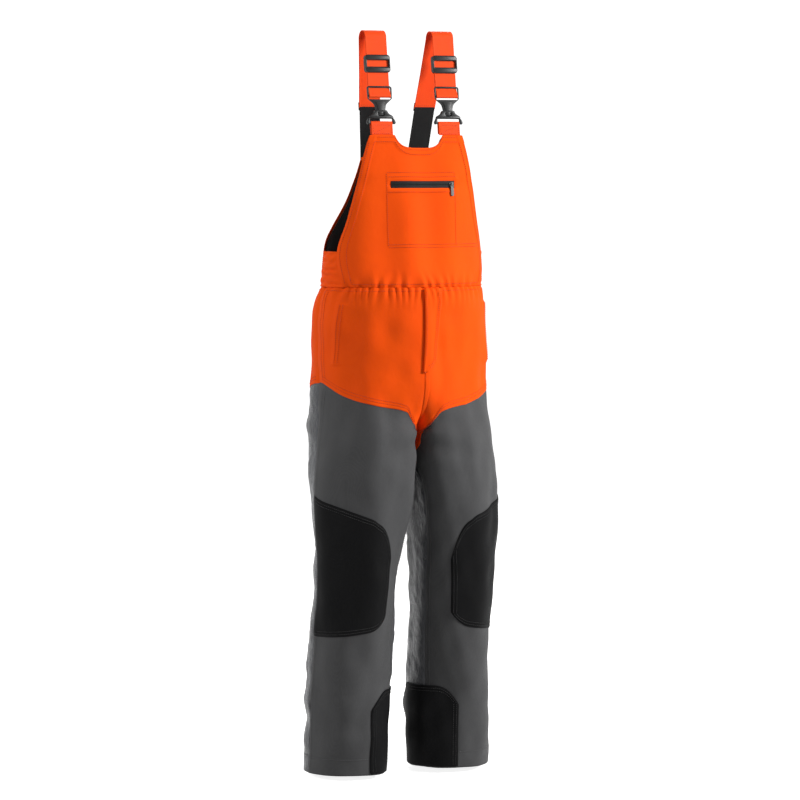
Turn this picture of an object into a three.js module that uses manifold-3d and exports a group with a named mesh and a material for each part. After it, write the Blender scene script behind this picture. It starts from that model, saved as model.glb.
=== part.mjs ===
// Chainsaw-protective bib-and-brace trousers: a garment built as it is sewn, panel by panel,
// with webbing braces, plastic buckles, strap adjusters and two zips.
// Millimetres, +Z up, the wearer faces -Y and the wearer's left is +X.
// Heights are counted from the trouser hem, and the finished group is moved so that its origin
// lies under the two shoulder loops of the braces, where the garment hangs.
import * as THREE from "three";
import { mergeVertices } from "three/addons/utils/BufferGeometryUtils.js";
import Module from "manifold-3d";

const wasm = await Module();
wasm.setup();

// ---- driving heights ----
const HEM_TOP_Z = 35;
const ANKLE_PATCH_TOP_Z = 180;
const KNEE_LOW_Z = 299;
const KNEE_HIGH_Z = 603;
const PAD_LOW_Z = 42;
const PAD_HIGH_Z = 758;
const CROTCH_Z = 737;
const RISE_TOP_Z = 850;
const INSEAM_TOP_Z = 730;
const INSEAM_TURN_RUN = 130;
const WAIST_Z = 1045;
const ARMHOLE_Z = 1120;
const CHEST_ZIP_Z = 1263;
const NECK_Z = 1340;
const BIB_TOP_Z = 1367;
const BACK_TOP_Z = 1320;
const ELASTIC_TOP_Z = 1425;
const BUCKLE_Z = 1421;
const SHOULDER_Z = 1573;

// ---- cloth and webbing ----
const CLOTH = 1.2;
const PAD_THICKNESS = 6;
const GAP = 0.5;
const LAYER_GAP = 2.2;
const WEBBING_WIDTH = 50;
const WEBBING = 1.6;

// ---- braces ----
const BRACE_X = 79;
const BACK_BRACE_X = 55;
const BRACE_TILT = THREE.MathUtils.degToRad(8);
const BUCKLE_Y = -84;
const SHOULDER_RADIUS = 16.5;
const FRONT_LAYER_Y = 2.7;
const TURNBACK_Y = 5.2;
const CROSSBAR_Z = 29.75;
const ADJUSTER_Z = 99;

// ---- zips ----
const CHEST_ZIP_MIDDLE_X = 8;
const CHEST_ZIP_HALF = 74;
const CHEST_SLIDER_X = 74;
const FLY_ZIP_TOP_Z = 1028;
const FLY_ZIP_LOW_Z = 876;

// One trouser leg: height, outer, inner, front and back reach of its cross-section, and how
// square its front inner quarter is (2 is an ellipse), where the two thighs press together.
const LEG = [
  [0, 209, 35, -85, 97, 2],
  [200, 208, 31, -100, 86, 2],
  [430, 204, 26, -124, 66, 2.1],
  [600, 207, 8, -146, 86, 2.8],
  [740, 196, 0.6, -148, 132, 3.6],
];
// Hips and waist: height, half-width, front and back reach.
const HIP = [
  [700, 194, -148, 140],
  [850, 193, -150, 142],
  [960, 192, -150, 136],
  [1010, 189, -148, 124],
  [WAIST_Z, 180, -144, 106],
];
// Chest and back: height, half-width of the full ellipse, front, side and back reach.
const TORSO = [
  [WAIST_Z, 180, -144, -19, 106],
  [ARMHOLE_Z, 178, -129, -30, 84],
  [CHEST_ZIP_Z, 170, -115, -44, 43],
  [NECK_Z, 165, -103, -52, 18],
  [1400, 165, -96, -58, 10],
];
const BIB_HALF_WIDTH = [
  [WAIST_Z, 161],
  [ARMHOLE_Z, 169],
  [1190, 153],
  [CHEST_ZIP_Z, 135],
  [1340, 116],
  [1372, 106],
];
const BACK_HALF_WIDTH = [
  [WAIST_Z, 161],
  [ARMHOLE_Z, 168],
  [1170, 138],
  [1220, 110],
  [1270, 90],
  [1324, 77],
];
// Orange to grey seam round the leg: quarter turns from the side seam, and height.
const FRONT_SEAM = [[0, 845], [0.4, 818], [1, 797], [1.5, 781], [1.78, 752], [2, 690]];
const BACK_SEAM = [[2, 690], [2.3, 745], [2.7, 778], [3.4, 812], [4, 843]];

// A smooth curve through the rows of a table, read in one column.
function read(table, at, column = 1) {
  const last = table.length - 1;
  let i = 0;
  while (i < last - 1 && at > table[i + 1][0]) i++;
  const [a, b] = [table[i], table[i + 1]];
  const slope = (p, q) => (q[column] - p[column]) / (q[0] - p[0]);
  const tangentA = i > 0 ? slope(table[i - 1], b) : slope(a, b);
  const tangentB = i < last - 1 ? slope(a, table[i + 2]) : slope(a, b);
  const span = b[0] - a[0];
  const t = THREE.MathUtils.clamp((at - a[0]) / span, 0, 1);
  const t2 = t * t;
  const t3 = t2 * t;
  return (
    (2 * t3 - 3 * t2 + 1) * a[column] +
    (t3 - 2 * t2 + t) * span * tangentA +
    (3 * t2 - 2 * t3) * b[column] +
    (t3 - t2) * span * tangentB
  );
}

function smooth(t) {
  const s = THREE.MathUtils.clamp(t, 0, 1);
  return s * s * (3 - 2 * s);
}

// ---- surfaces of the worn shape ----

// A point of one half of the trousers. turn counts quarter turns round the leg: 0 at the side
// seam, 1 at the middle of the front, 2 at the inseam and, above the crotch, at the front or back
// centre, 3 at the middle of the back, 4 at the side seam again.
function trouserPoint(side, turn, z, back) {
  const outer = read(LEG, z, 1);
  const inner = read(LEG, z, 2);
  const front = read(LEG, z, 3);
  const rear = read(LEG, z, 4);
  const angle = (turn * Math.PI) / 2;
  const middle = (front + rear) / 2;
  const power = turn > 1 && turn < 2 ? 2 / read(LEG, z, 5) : 1;
  const bend = (value) => Math.sign(value) * Math.abs(value) ** power;
  const legX = (outer + inner) / 2 + ((outer - inner) / 2) * bend(Math.cos(angle));
  const legY = middle - ((rear - front) / 2) * bend(Math.sin(angle));
  const fromSide = back ? 4 - turn : turn;
  const bearing = (Math.PI / 2) * (1 - Math.pow(fromSide / 2, 0.65));
  const hipFront = read(HIP, z, 2);
  const hipBack = read(HIP, z, 3);
  const hipMiddle = (hipFront + hipBack) / 2;
  const hipDepth = (hipBack - hipFront) / 2;
  const hipX = read(HIP, z, 1) * Math.sin(bearing);
  const hipY = hipMiddle + (back ? 1 : -1) * hipDepth * Math.cos(bearing);
  const rise = THREE.MathUtils.clamp((z - CROTCH_Z) / (RISE_TOP_Z - CROTCH_Z), 0, 1);
  const atCentre = Math.sqrt(1 - (1 - rise) * (1 - rise));
  const atSide = smooth((z - 690) / 160);
  const hip = atSide + (atCentre - atSide) * smooth((fromSide - 0.9) / 1.1);
  const x = legX + (hipX - legX) * hip;
  const y = legY + (hipY - legY) * hip;
  return new THREE.Vector3(side * Math.max(x, 0.3), y, z);
}

function bibPoint(across, z) {
  const x = across * read(BIB_HALF_WIDTH, z);
  return torsoFrontPoint(x, z);
}

function torsoFrontPoint(x, z) {
  const fall = 1 - Math.sqrt(1 - (x / read(TORSO, z, 1)) ** 2);
  return new THREE.Vector3(x, read(TORSO, z, 2) + fall * (read(TORSO, z, 3) - read(TORSO, z, 2)), z);
}

function backPoint(across, z) {
  const x = across * read(BACK_HALF_WIDTH, z);
  const fall = 1 - Math.sqrt(1 - (x / read(TORSO, z, 1)) ** 2);
  return new THREE.Vector3(x, read(TORSO, z, 4) - fall * (read(TORSO, z, 4) - read(TORSO, z, 3)), z);
}

// The side of the waist, from the bib's edge round to the back panel's edge.
function sidePoint(side, along, z) {
  const reach = read(TORSO, z, 1);
  const from = Math.asin(read(BIB_HALF_WIDTH, z) / reach) - Math.PI / 2;
  const to = Math.PI / 2 - Math.asin(read(BACK_HALF_WIDTH, z) / reach);
  const angle = from + (to - from) * along;
  const depth = angle < 0 ? read(TORSO, z, 3) - read(TORSO, z, 2) : read(TORSO, z, 4) - read(TORSO, z, 3);
  return new THREE.Vector3(side * reach * Math.cos(angle), read(TORSO, z, 3) + depth * Math.sin(angle), z);
}

// ---- builders ----

// Turns a closed triangle list into a geometry whose faces point outwards.
function closedGeometry(points, triangles) {
  let volume = 0;
  const cross = new THREE.Vector3();
  for (const [a, b, c] of triangles) {
    volume += points[a].dot(cross.crossVectors(points[b], points[c]));
  }
  const indices = triangles.flatMap(([a, b, c]) => (volume < 0 ? [a, c, b] : [a, b, c]));
  const geometry = new THREE.BufferGeometry().setFromPoints(points);
  geometry.setIndex(indices);
  geometry.computeVertexNormals();
  return geometry;
}

// A closed slab between two grids of points, each rows x columns.
function slabBetween(outer, inner) {
  const rows = outer.length;
  const columns = outer[0].length;
  const points = [...outer.flat(), ...inner.flat()];
  const under = rows * columns;
  const at = (r, c) => r * columns + c;
  const triangles = [];
  const quad = (a, b, c, d) => triangles.push([a, b, c], [a, c, d]);
  for (let r = 0; r < rows - 1; r++) {
    for (let c = 0; c < columns - 1; c++) {
      quad(at(r, c), at(r, c + 1), at(r + 1, c + 1), at(r + 1, c));
      quad(under + at(r, c), under + at(r + 1, c), under + at(r + 1, c + 1), under + at(r, c + 1));
    }
  }
  for (let c = 0; c < columns - 1; c++) {
    const top = rows - 1;
    quad(at(0, c), under + at(0, c), under + at(0, c + 1), at(0, c + 1));
    quad(at(top, c), at(top, c + 1), under + at(top, c + 1), under + at(top, c));
  }
  for (let r = 0; r < rows - 1; r++) {
    const end = columns - 1;
    quad(at(r, 0), at(r + 1, 0), under + at(r + 1, 0), under + at(r, 0));
    quad(at(r, end), under + at(r, end), under + at(r + 1, end), at(r + 1, end));
  }
  return closedGeometry(points, triangles);
}

// A cloth panel that follows surface(u, v) for u and v from 0 to 1, from the offset out to the
// offset in, both counted outwards from the surface. outward(point) gives a rough outward direction.
function panel(surface, outward, out, inn, acrossCells, upCells) {
  const step = 0.004;
  const grids = [[], []];
  for (let r = 0; r <= upCells; r++) {
    const rows = [[], []];
    for (let c = 0; c <= acrossCells; c++) {
      const u = c / acrossCells;
      const v = r / upCells;
      const point = surface(u, v);
      const alongU = surface(Math.min(u + step, 1), v).sub(surface(Math.max(u - step, 0), v));
      const alongV = surface(u, Math.min(v + step, 1)).sub(surface(u, Math.max(v - step, 0)));
      const normal = alongU.cross(alongV).normalize();
      if (normal.dot(outward(point)) < 0) normal.negate();
      rows[0].push(point.clone().addScaledVector(normal, out));
      rows[1].push(point.clone().addScaledVector(normal, inn));
    }
    grids[0].push(rows[0]);
    grids[1].push(rows[1]);
  }
  return slabBetween(grids[0], grids[1]);
}

function awayFromLeg(side) {
  return (p) => {
    const middleX = p.z > CROTCH_Z ? 0 : (side * (read(LEG, p.z, 1) + read(LEG, p.z, 2))) / 2;
    const middleY = (read(LEG, p.z, 3) + read(LEG, p.z, 4)) / 2;
    return new THREE.Vector3(p.x - middleX, p.y - middleY, 0);
  };
}

function awayFromBody(p) {
  return new THREE.Vector3(p.x, p.y + 40, 0);
}

// A panel of one trouser half between two turns and two heights; a height may vary with the turn.
// flyInset draws the panel's far edge back from the front centre above the foot of the fly, and
// inseam says how far the panel follows the inseam, which lies in front of the inner side of the leg.
function trouserPanel(side, turns, low, high, out, inn, acrossCells, upCells, shifts = {}) {
  const { flyInset = 0, inseam = 0 } = shifts;
  const [from, to] = turns;
  const back = from >= 2;
  const heightOf = (edge, turn) => (typeof edge === "function" ? edge(turn) : edge);
  const surface = (u, v) => {
    const turn = from + (to - from) * u;
    const z = THREE.MathUtils.lerp(heightOf(low, turn), heightOf(high, turn), v);
    const atInseam = inseam * (back ? 1 - u : u) * inseamShift(z);
    return trouserPoint(side, turn - u * flyInset * smooth((z - 849) / 24) - atInseam, z, back);
  };
  return panel(surface, awayFromLeg(side), out, inn, acrossCells, upCells);
}

// How many quarter turns the inseam lies in front of the inner side of the leg.
function inseamShift(z) {
  return INSEAM_TURN * (1 - smooth((z - INSEAM_TOP_Z + INSEAM_TURN_RUN) / INSEAM_TURN_RUN));
}

// A flat band of webbing along a path, as wide as width in X.
function ribbon(path, width, thickness) {
  const faces = [[], []];
  path.forEach((p, i) => {
    const before = path[Math.max(i - 1, 0)];
    const after = path[Math.min(i + 1, path.length - 1)];
    const along = after.clone().sub(before).setX(0).normalize();
    const normal = new THREE.Vector3(0, along.z, -along.y).multiplyScalar(thickness / 2);
    const half = new THREE.Vector3(width / 2, 0, 0);
    const [left, right] = [p.clone().sub(half), p.clone().add(half)];
    faces[0].push([left.clone().add(normal), right.clone().add(normal)]);
    faces[1].push([left.clone().sub(normal), right.clone().sub(normal)]);
  });
  return slabBetween(faces[0], faces[1]);
}

// An outline in X and Z, given a thickness in Y centred on zero; holes are outlines too.
function plate(outline, thickness, holes = []) {
  const toPath = (points) => points.map(([x, z]) => new THREE.Vector2(x, z));
  const shape = new THREE.Shape(toPath(outline));
  for (const hole of holes) shape.holes.push(new THREE.Path(toPath(hole)));
  const geometry = new THREE.ExtrudeGeometry(shape, { depth: thickness, bevelEnabled: false });
  geometry.translate(0, 0, -thickness / 2);
  geometry.rotateX(Math.PI / 2);
  return geometry;
}

function boxAt(width, depth, height, x, y, z) {
  return new THREE.BoxGeometry(width, depth, height).translate(x, y, z);
}

function rectangle(halfWidth, low, high) {
  return [[-halfWidth, low], [halfWidth, low], [halfWidth, high], [-halfWidth, high]];
}

function mirrored(half) {
  return [...half, ...half.map(([x, z]) => [-x, z]).reverse()];
}

function solidOf(geometry) {
  const bare = geometry.clone();
  bare.deleteAttribute("normal");
  bare.deleteAttribute("uv");
  const merged = mergeVertices(bare, 1e-4);
  const vertProperties = new Float32Array(merged.attributes.position.array);
  const triVerts = new Uint32Array(merged.index.array);
  return new wasm.Manifold(new wasm.Mesh({ numProp: 3, vertProperties, triVerts }));
}

function geometryOf(solid) {
  const mesh = solid.getMesh();
  const geometry = new THREE.BufferGeometry();
  geometry.setAttribute("position", new THREE.BufferAttribute(mesh.vertProperties, 3));
  geometry.setIndex(new THREE.BufferAttribute(mesh.triVerts, 1));
  geometry.computeVertexNormals();
  return geometry;
}

function cut(geometry, ...tools) {
  return geometryOf(tools.reduce((solid, tool) => solid.subtract(solidOf(tool)), solidOf(geometry)));
}

// ---- materials ----
const COLOURS = {
  orange: [0xff5a14, 0.75],
  grey: [0x424244, 0.85],
  black_patch: [0x141415, 0.8],
  nylon: [0x4a4c50, 0.4],
  lining: [0x1a1a1b, 0.9],
  pad: [0xd8d2c0, 0.95],
  webbing: [0xff4a0a, 0.65],
  elastic: [0x161616, 0.8],
  plastic: [0x121212, 0.4],
  metal: [0xb8b8b8, 0.3],
  zip: [0x101010, 0.55],
};
const materials = {};
for (const [name, [color, roughness]] of Object.entries(COLOURS)) {
  const metalness = name === "metal" ? 1 : 0;
  materials[name] = new THREE.MeshStandardMaterial({ color, roughness, metalness });
}

const garment = new THREE.Group();
garment.name = "bib_and_brace_trousers";
const worn = new THREE.Group();
worn.position.set(0, -(BUCKLE_Y + (SHOULDER_Z - BUCKLE_Z) * Math.tan(BRACE_TILT) + SHOULDER_RADIUS), 0);
worn.position.z = -(SHOULDER_Z + SHOULDER_RADIUS - WEBBING / 2);
garment.add(worn);

function add(name, geometry, material, parent = worn) {
  const mesh = new THREE.Mesh(geometry, materials[material]);
  mesh.name = name;
  parent.add(mesh);
  return mesh;
}

const SIDES = [["right", -1], ["left", 1]];
const SEAM = 0.007;
const FLY_INSET = 0.09;
const INSEAM_TURN = 0.32;
const KNEE_INNER_TURN = 1.29;
const ANKLE_TURNS = [1.12, 2.5];

// ---- legs ----
function makeLeg(name, side) {
  const frontTurns = [SEAM, 2 - SEAM];
  const backTurns = [2 + SEAM, 4 - SEAM];
  const frontTop = (turn) => read(FRONT_SEAM, turn) - GAP;
  const backTop = (turn) => read(BACK_SEAM, turn) - GAP;
  const padOuter = -CLOTH - 2 * LAYER_GAP;
  const padInner = padOuter - PAD_THICKNESS;
  const liningOuter = padInner - LAYER_GAP;
  const toInseam = { inseam: 1 };
  add(`${name}_leg_front`, trouserPanel(side, frontTurns, 0, frontTop, 0, -CLOTH, 16, 10, toInseam), "grey");
  add(`${name}_leg_back`, trouserPanel(side, backTurns, 0, backTop, 0, -CLOTH, 10, 9, toInseam), "nylon");
  const padTurns = [0.12, 1.5];
  const padTop = (turn) => Math.min(PAD_HIGH_Z, read(FRONT_SEAM, turn) - 14);
  add(
    `${name}_saw_pad`,
    trouserPanel(side, padTurns, PAD_LOW_Z, padTop, padOuter, padInner, 9, 8),
    "pad",
  );
  add(
    `${name}_leg_lining`,
    trouserPanel(side, padTurns, PAD_LOW_Z, padTop, liningOuter, liningOuter - CLOTH, 9, 8),
    "lining",
  );
  // The two patches stand proud of the shell, and their inner corners are rounded off.
  const kneeCorner = (turn, from) => (Math.max(turn - from, 0) / (KNEE_INNER_TURN - from)) ** 2;
  const kneeTop = (turn) => KNEE_HIGH_Z - 52 * turn - 75 * kneeCorner(turn, 0.9);
  const kneeLow = (turn) => KNEE_LOW_Z + 13 * turn * turn + 24 * kneeCorner(turn, 1);
  add(
    `${name}_knee_patch`,
    trouserPanel(side, [0.03, KNEE_INNER_TURN], kneeLow, kneeTop, LAYER_GAP + CLOTH, LAYER_GAP, 10, 5),
    "black_patch",
  );
  const [ankleFrom, ankleTo] = ANKLE_TURNS;
  const ankleCorner = (turn) => Math.max(ankleFrom + 0.38 - turn, turn - ankleTo + 0.38, 0) / 0.38;
  const ankleTop = (turn) => ANKLE_PATCH_TOP_Z - 40 * ankleCorner(turn) ** 2;
  add(
    `${name}_ankle_patch`,
    trouserPanel(side, ANKLE_TURNS, 4, ankleTop, LAYER_GAP + CLOTH, LAYER_GAP, 8, 4),
    "black_patch",
  );
  add(
    `${name}_hem_turn_up`,
    trouserPanel(side, [0.04, 1.96], 1, HEM_TOP_Z, padOuter, padOuter - CLOTH, 10, 1),
    "grey",
  );
}

// ---- hips ----
function makeHips(name, side) {
  const frontLow = (turn) => read(FRONT_SEAM, turn) + 8 * GAP;
  const backLow = (turn) => read(BACK_SEAM, turn) + 3 * GAP;
  const top = WAIST_Z - 2;
  const frontTurns = [SEAM, 2 - SEAM];
  const backTurns = [2 + SEAM, 4 - SEAM];
  const toFly = { flyInset: FLY_INSET, inseam: 1 };
  const toInseam = { inseam: 1 };
  add(`${name}_hip_front`, trouserPanel(side, frontTurns, frontLow, top, 0, -CLOTH, 16, 9, toFly), "orange");
  add(`${name}_seat`, trouserPanel(side, backTurns, backLow, top, 0, -CLOTH, 10, 8, toInseam), "orange");
  add(
    `${name}_hip_pocket_bag`,
    trouserPanel(side, [0.24, 1.15], 858, 1018, -CLOTH - LAYER_GAP, -2 * CLOTH - LAYER_GAP, 5, 3),
    "lining",
  );
}

// ---- fly ----
function frontSurface(x, z) {
  const side = x < 0 ? -1 : 1;
  const bearing = Math.asin(Math.abs(x) / read(HIP, z, 1));
  const turn = 2 * Math.pow(1 - bearing / (Math.PI / 2), 1 / 0.65);
  const point = trouserPoint(side, turn, z, false);
  return new THREE.Vector3(x, point.y, z);
}

function flyPanel(xAt, low, high, out, inn, acrossCells, upCells) {
  const surface = (u, v) => {
    const z = THREE.MathUtils.lerp(low, high, v);
    const [from, to] = xAt(z);
    return frontSurface(from + (to - from) * u, z);
  };
  return panel(surface, awayFromBody, out, inn, acrossCells, upCells);
}

function makeFly() {
  const flyTop = WAIST_Z - 4;
  const flapEdge = (z) => -12 + 12 * smooth((z - 800) / 170);
  const flapSewn = (z) => 38 - (WAIST_Z - z) / 10 - 20 * (1 - smooth((z - 864) / 36));
  const flapOut = 5.2;
  add(
    "fly_flap",
    flyPanel((z) => [flapEdge(z), flapSewn(z)], 866, flyTop, flapOut, flapOut - CLOTH, 4, 7),
    "orange",
  );
  // The tape is straight, so that its slider can run down it.
  const tapeLow = frontSurface(0, FLY_ZIP_LOW_Z + 14);
  const tapeHigh = frontSurface(0, FLY_ZIP_TOP_Z - 8);
  const tapePoint = (u, v) => {
    const p = new THREE.Vector3().lerpVectors(tapeLow, tapeHigh, v * 1.18 - 0.1);
    return p.setX(13 * (u - 0.5));
  };
  add("fly_zip_tape", panel(tapePoint, awayFromBody, 0, -CLOTH, 1, 1), "zip");
  add(
    "fly_shield",
    flyPanel(() => [-22, 22], 866, flyTop - 2, -CLOTH - LAYER_GAP, -2 * CLOTH - LAYER_GAP, 4, 5),
    "orange",
  );
  // The slider starts at the top stop and runs down the tape; its pull lies flat on it.
  const fall = tapeLow.clone().sub(tapeHigh);
  const flyGroup = new THREE.Group();
  flyGroup.position.copy(tapeHigh);
  flyGroup.rotation.x = Math.atan2(fall.y, fall.z) + Math.PI;
  worn.add(flyGroup);
  add("fly_zip_slider", zipSliderGeometry(1.6).translate(0, -1.7, 0), "metal", flyGroup);
  add("fly_zip_pull", boxAt(4.5, 0.8, 15, 0, -3.1, -10), "metal", flyGroup);
}

// A slider body in the plane of its tape, its wide end up.
function zipSliderGeometry(thickness) {
  return plate(mirrored([[2.6, -5], [4.4, 1], [4.8, 5]]), thickness);
}

// ---- bib ----
function makeBib() {
  const low = WAIST_Z + 2;
  const topOf = (across) => {
    const scoop = Math.min(1, (Math.abs(across) * read(BIB_HALF_WIDTH, BIB_TOP_Z)) / 56);
    return NECK_Z + (BIB_TOP_Z - NECK_Z) * scoop ** 4;
  };
  const bibPanel = (out, inn, inset, acrossCells, upCells) =>
    panel(
      (u, v) => {
        const across = (2 * u - 1) * (1 - inset);
        return bibPoint(across, THREE.MathUtils.lerp(low, topOf(across) - 60 * inset, v));
      },
      awayFromBody,
      out,
      inn,
      acrossCells,
      upCells,
    );
  add("bib_front", bibPanel(0, -CLOTH, 0, 14, 8), "orange");
  add("bib_lining", bibPanel(-2 * CLOTH - 2 * LAYER_GAP, -3 * CLOTH - 2 * LAYER_GAP, 0.03, 12, 6), "lining");
  const bagPanel = (halfWidth, from, to, out, inn, cells, rows) =>
    panel(
      (u, v) => {
        const x = CHEST_ZIP_MIDDLE_X + (2 * u - 1) * halfWidth;
        return torsoFrontPoint(x, THREE.MathUtils.lerp(from, to, v));
      },
      awayFromBody,
      out,
      inn,
      cells,
      rows,
    );
  add("chest_pocket_bag", bagPanel(82, 1131, 1286, -CLOTH - 2 * GAP, -2 * CLOTH - 2 * GAP, 8, 3), "lining");
  const zipLow = CHEST_ZIP_Z - 7;
  const zipHigh = CHEST_ZIP_Z + 7;
  add("chest_zip_tape", bagPanel(CHEST_ZIP_HALF, zipLow, zipHigh, GAP + CLOTH, GAP, 12, 1), "zip");
}

// The chest slider sits at the wearer's left end of its zip, which bends round the chest.
function makeChestSlider() {
  const at = torsoFrontPoint(CHEST_SLIDER_X, CHEST_ZIP_Z);
  const beside = torsoFrontPoint(CHEST_SLIDER_X - 1, CHEST_ZIP_Z);
  const above = torsoFrontPoint(CHEST_SLIDER_X, CHEST_ZIP_Z + 1);
  const slider = new THREE.Group();
  slider.position.copy(at);
  slider.rotation.order = "ZXY";
  slider.rotation.z = Math.atan2(at.y - beside.y, 1);
  slider.rotation.x = -Math.atan2(above.y - at.y, 1);
  worn.add(slider);
  const front = -(GAP + CLOTH) - 1.1;
  const body = zipSliderGeometry(2).rotateY(Math.PI / 2).translate(0, front - 0.9, 0);
  const bail = cut(boxAt(2.2, 3.2, 6, 0, front - 3.4, 0), boxAt(4, 1.7, 3.2, 0, front - 3.4, 0));
  const merged = geometryOf(solidOf(body).add(solidOf(bail)));
  add("chest_zip_slider", merged, "metal", slider);
  const eye = mirrored([[3, 1.2], [3.4, -5], [3.6, -22], [2.4, -25]]);
  const pull = plate(eye, 1, [rectangle(2, -4.2, 0)]).translate(0, front - 3.4, 0);
  add("chest_zip_pull", pull, "metal", slider);
}

// ---- waist sides and back ----
function makeWaistAndBack() {
  for (const [name, side] of SIDES) {
    add(
      `${name}_side_elastic`,
      panel(
        (u, v) => sidePoint(side, 0.02 + 0.96 * u, THREE.MathUtils.lerp(WAIST_Z + 2, ARMHOLE_Z, v)),
        awayFromBody,
        0,
        -2 * CLOTH,
        3,
        3,
      ),
      "orange",
    );
  }
  const backPanel = (low, high, out, inn, inset, cells, rows) =>
    panel(
      (u, v) => backPoint((2 * u - 1) * (1 - inset), THREE.MathUtils.lerp(low, high, v)),
      awayFromBody,
      out,
      inn,
      cells,
      rows,
    );
  add("back_panel", backPanel(WAIST_Z + 2, BACK_TOP_Z, 0, -CLOTH, 0, 10, 8), "orange");
  add(
    "back_lining",
    backPanel(WAIST_Z + 9, BACK_TOP_Z - 4, -CLOTH - LAYER_GAP, -2 * CLOTH - LAYER_GAP, 0.02, 10, 8),
    "lining",
  );
  add(
    "waist_elastic",
    backPanel(WAIST_Z + 4, WAIST_Z + 44, -2 * CLOTH - 3 * LAYER_GAP, -3 * CLOTH - 3 * LAYER_GAP, 0.12, 10, 1),
    "elastic",
  );
}

// ---- braces, buckles and adjusters ----

// Local frame of the front of a brace: X across, Z up along the webbing, -Y outwards.
function frontFrame(side) {
  const group = new THREE.Group();
  group.position.set(side * BRACE_X, BUCKLE_Y, BUCKLE_Z);
  group.rotation.x = -BRACE_TILT;
  worn.add(group);
  group.updateMatrix();
  return group;
}

function arc(centreY, centreZ, radius, fromDegrees, toDegrees, steps) {
  const points = [];
  for (let i = 0; i <= steps; i++) {
    const angle = THREE.MathUtils.degToRad(fromDegrees + ((toDegrees - fromDegrees) * i) / steps);
    points.push(new THREE.Vector3(0, centreY + radius * Math.cos(angle), centreZ + radius * Math.sin(angle)));
  }
  return points;
}

// The keeper is sewn to the bib by its tab: a socket for the tongue over a bar for the tab.
function keeperGeometry() {
  const outline = mirrored([
    [27, -29.5],
    [31, -27],
    [31, -20],
    [28, -13.5],
    [17, -8],
    [14, -1],
  ]);
  const body = plate(outline, 7, [rectangle(25.8, -26.5, -18.7)]);
  const socket = boxAt(26, 3.8, 22, 0, 0, -5);
  const windowInFront = boxAt(15, 6, 9, 0, -3, -8.5);
  const slimmer = [
    boxAt(80, 4.4, 17.5, 0, -3.5, -27),
    boxAt(80, 4.4, 17.5, 0, 3.5, -27),
  ];
  return cut(body, socket, windowInFront, ...slimmer);
}

// The hook hangs on the brace by its crossbar, and its tongue drops into the keeper.
function hookGeometry() {
  const outline = mirrored([
    [7, -12],
    [9.6, -10],
    [11.4, 0],
    [14, 12],
    [24, 20],
    [27.5, 24],
    [28, 48],
    [25, 51],
  ]);
  return plate(outline, 3, [rectangle(25.6, 22.5, 28.4), rectangle(25.6, 31.1, 47.2)]);
}

function adjusterGeometry() {
  const corner = 4;
  const outline = mirrored([
    [29 - corner, -19],
    [29, -19 + corner],
    [29, 19 - corner],
    [29 - corner, 19],
  ]);
  const body = plate(outline, 10).translate(0, 3.2, 0);
  const channel = boxAt(WEBBING_WIDTH + 2, 5.2, 60, 0, 3.8, 0);
  const windowInFront = boxAt(WEBBING_WIDTH + 1, 6, 14, 0, -2, 0.6);
  const openBack = boxAt(WEBBING_WIDTH + 2, 6, 26, 0, 8, 0);
  return cut(body, channel, windowInFront, openBack);
}

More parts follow.
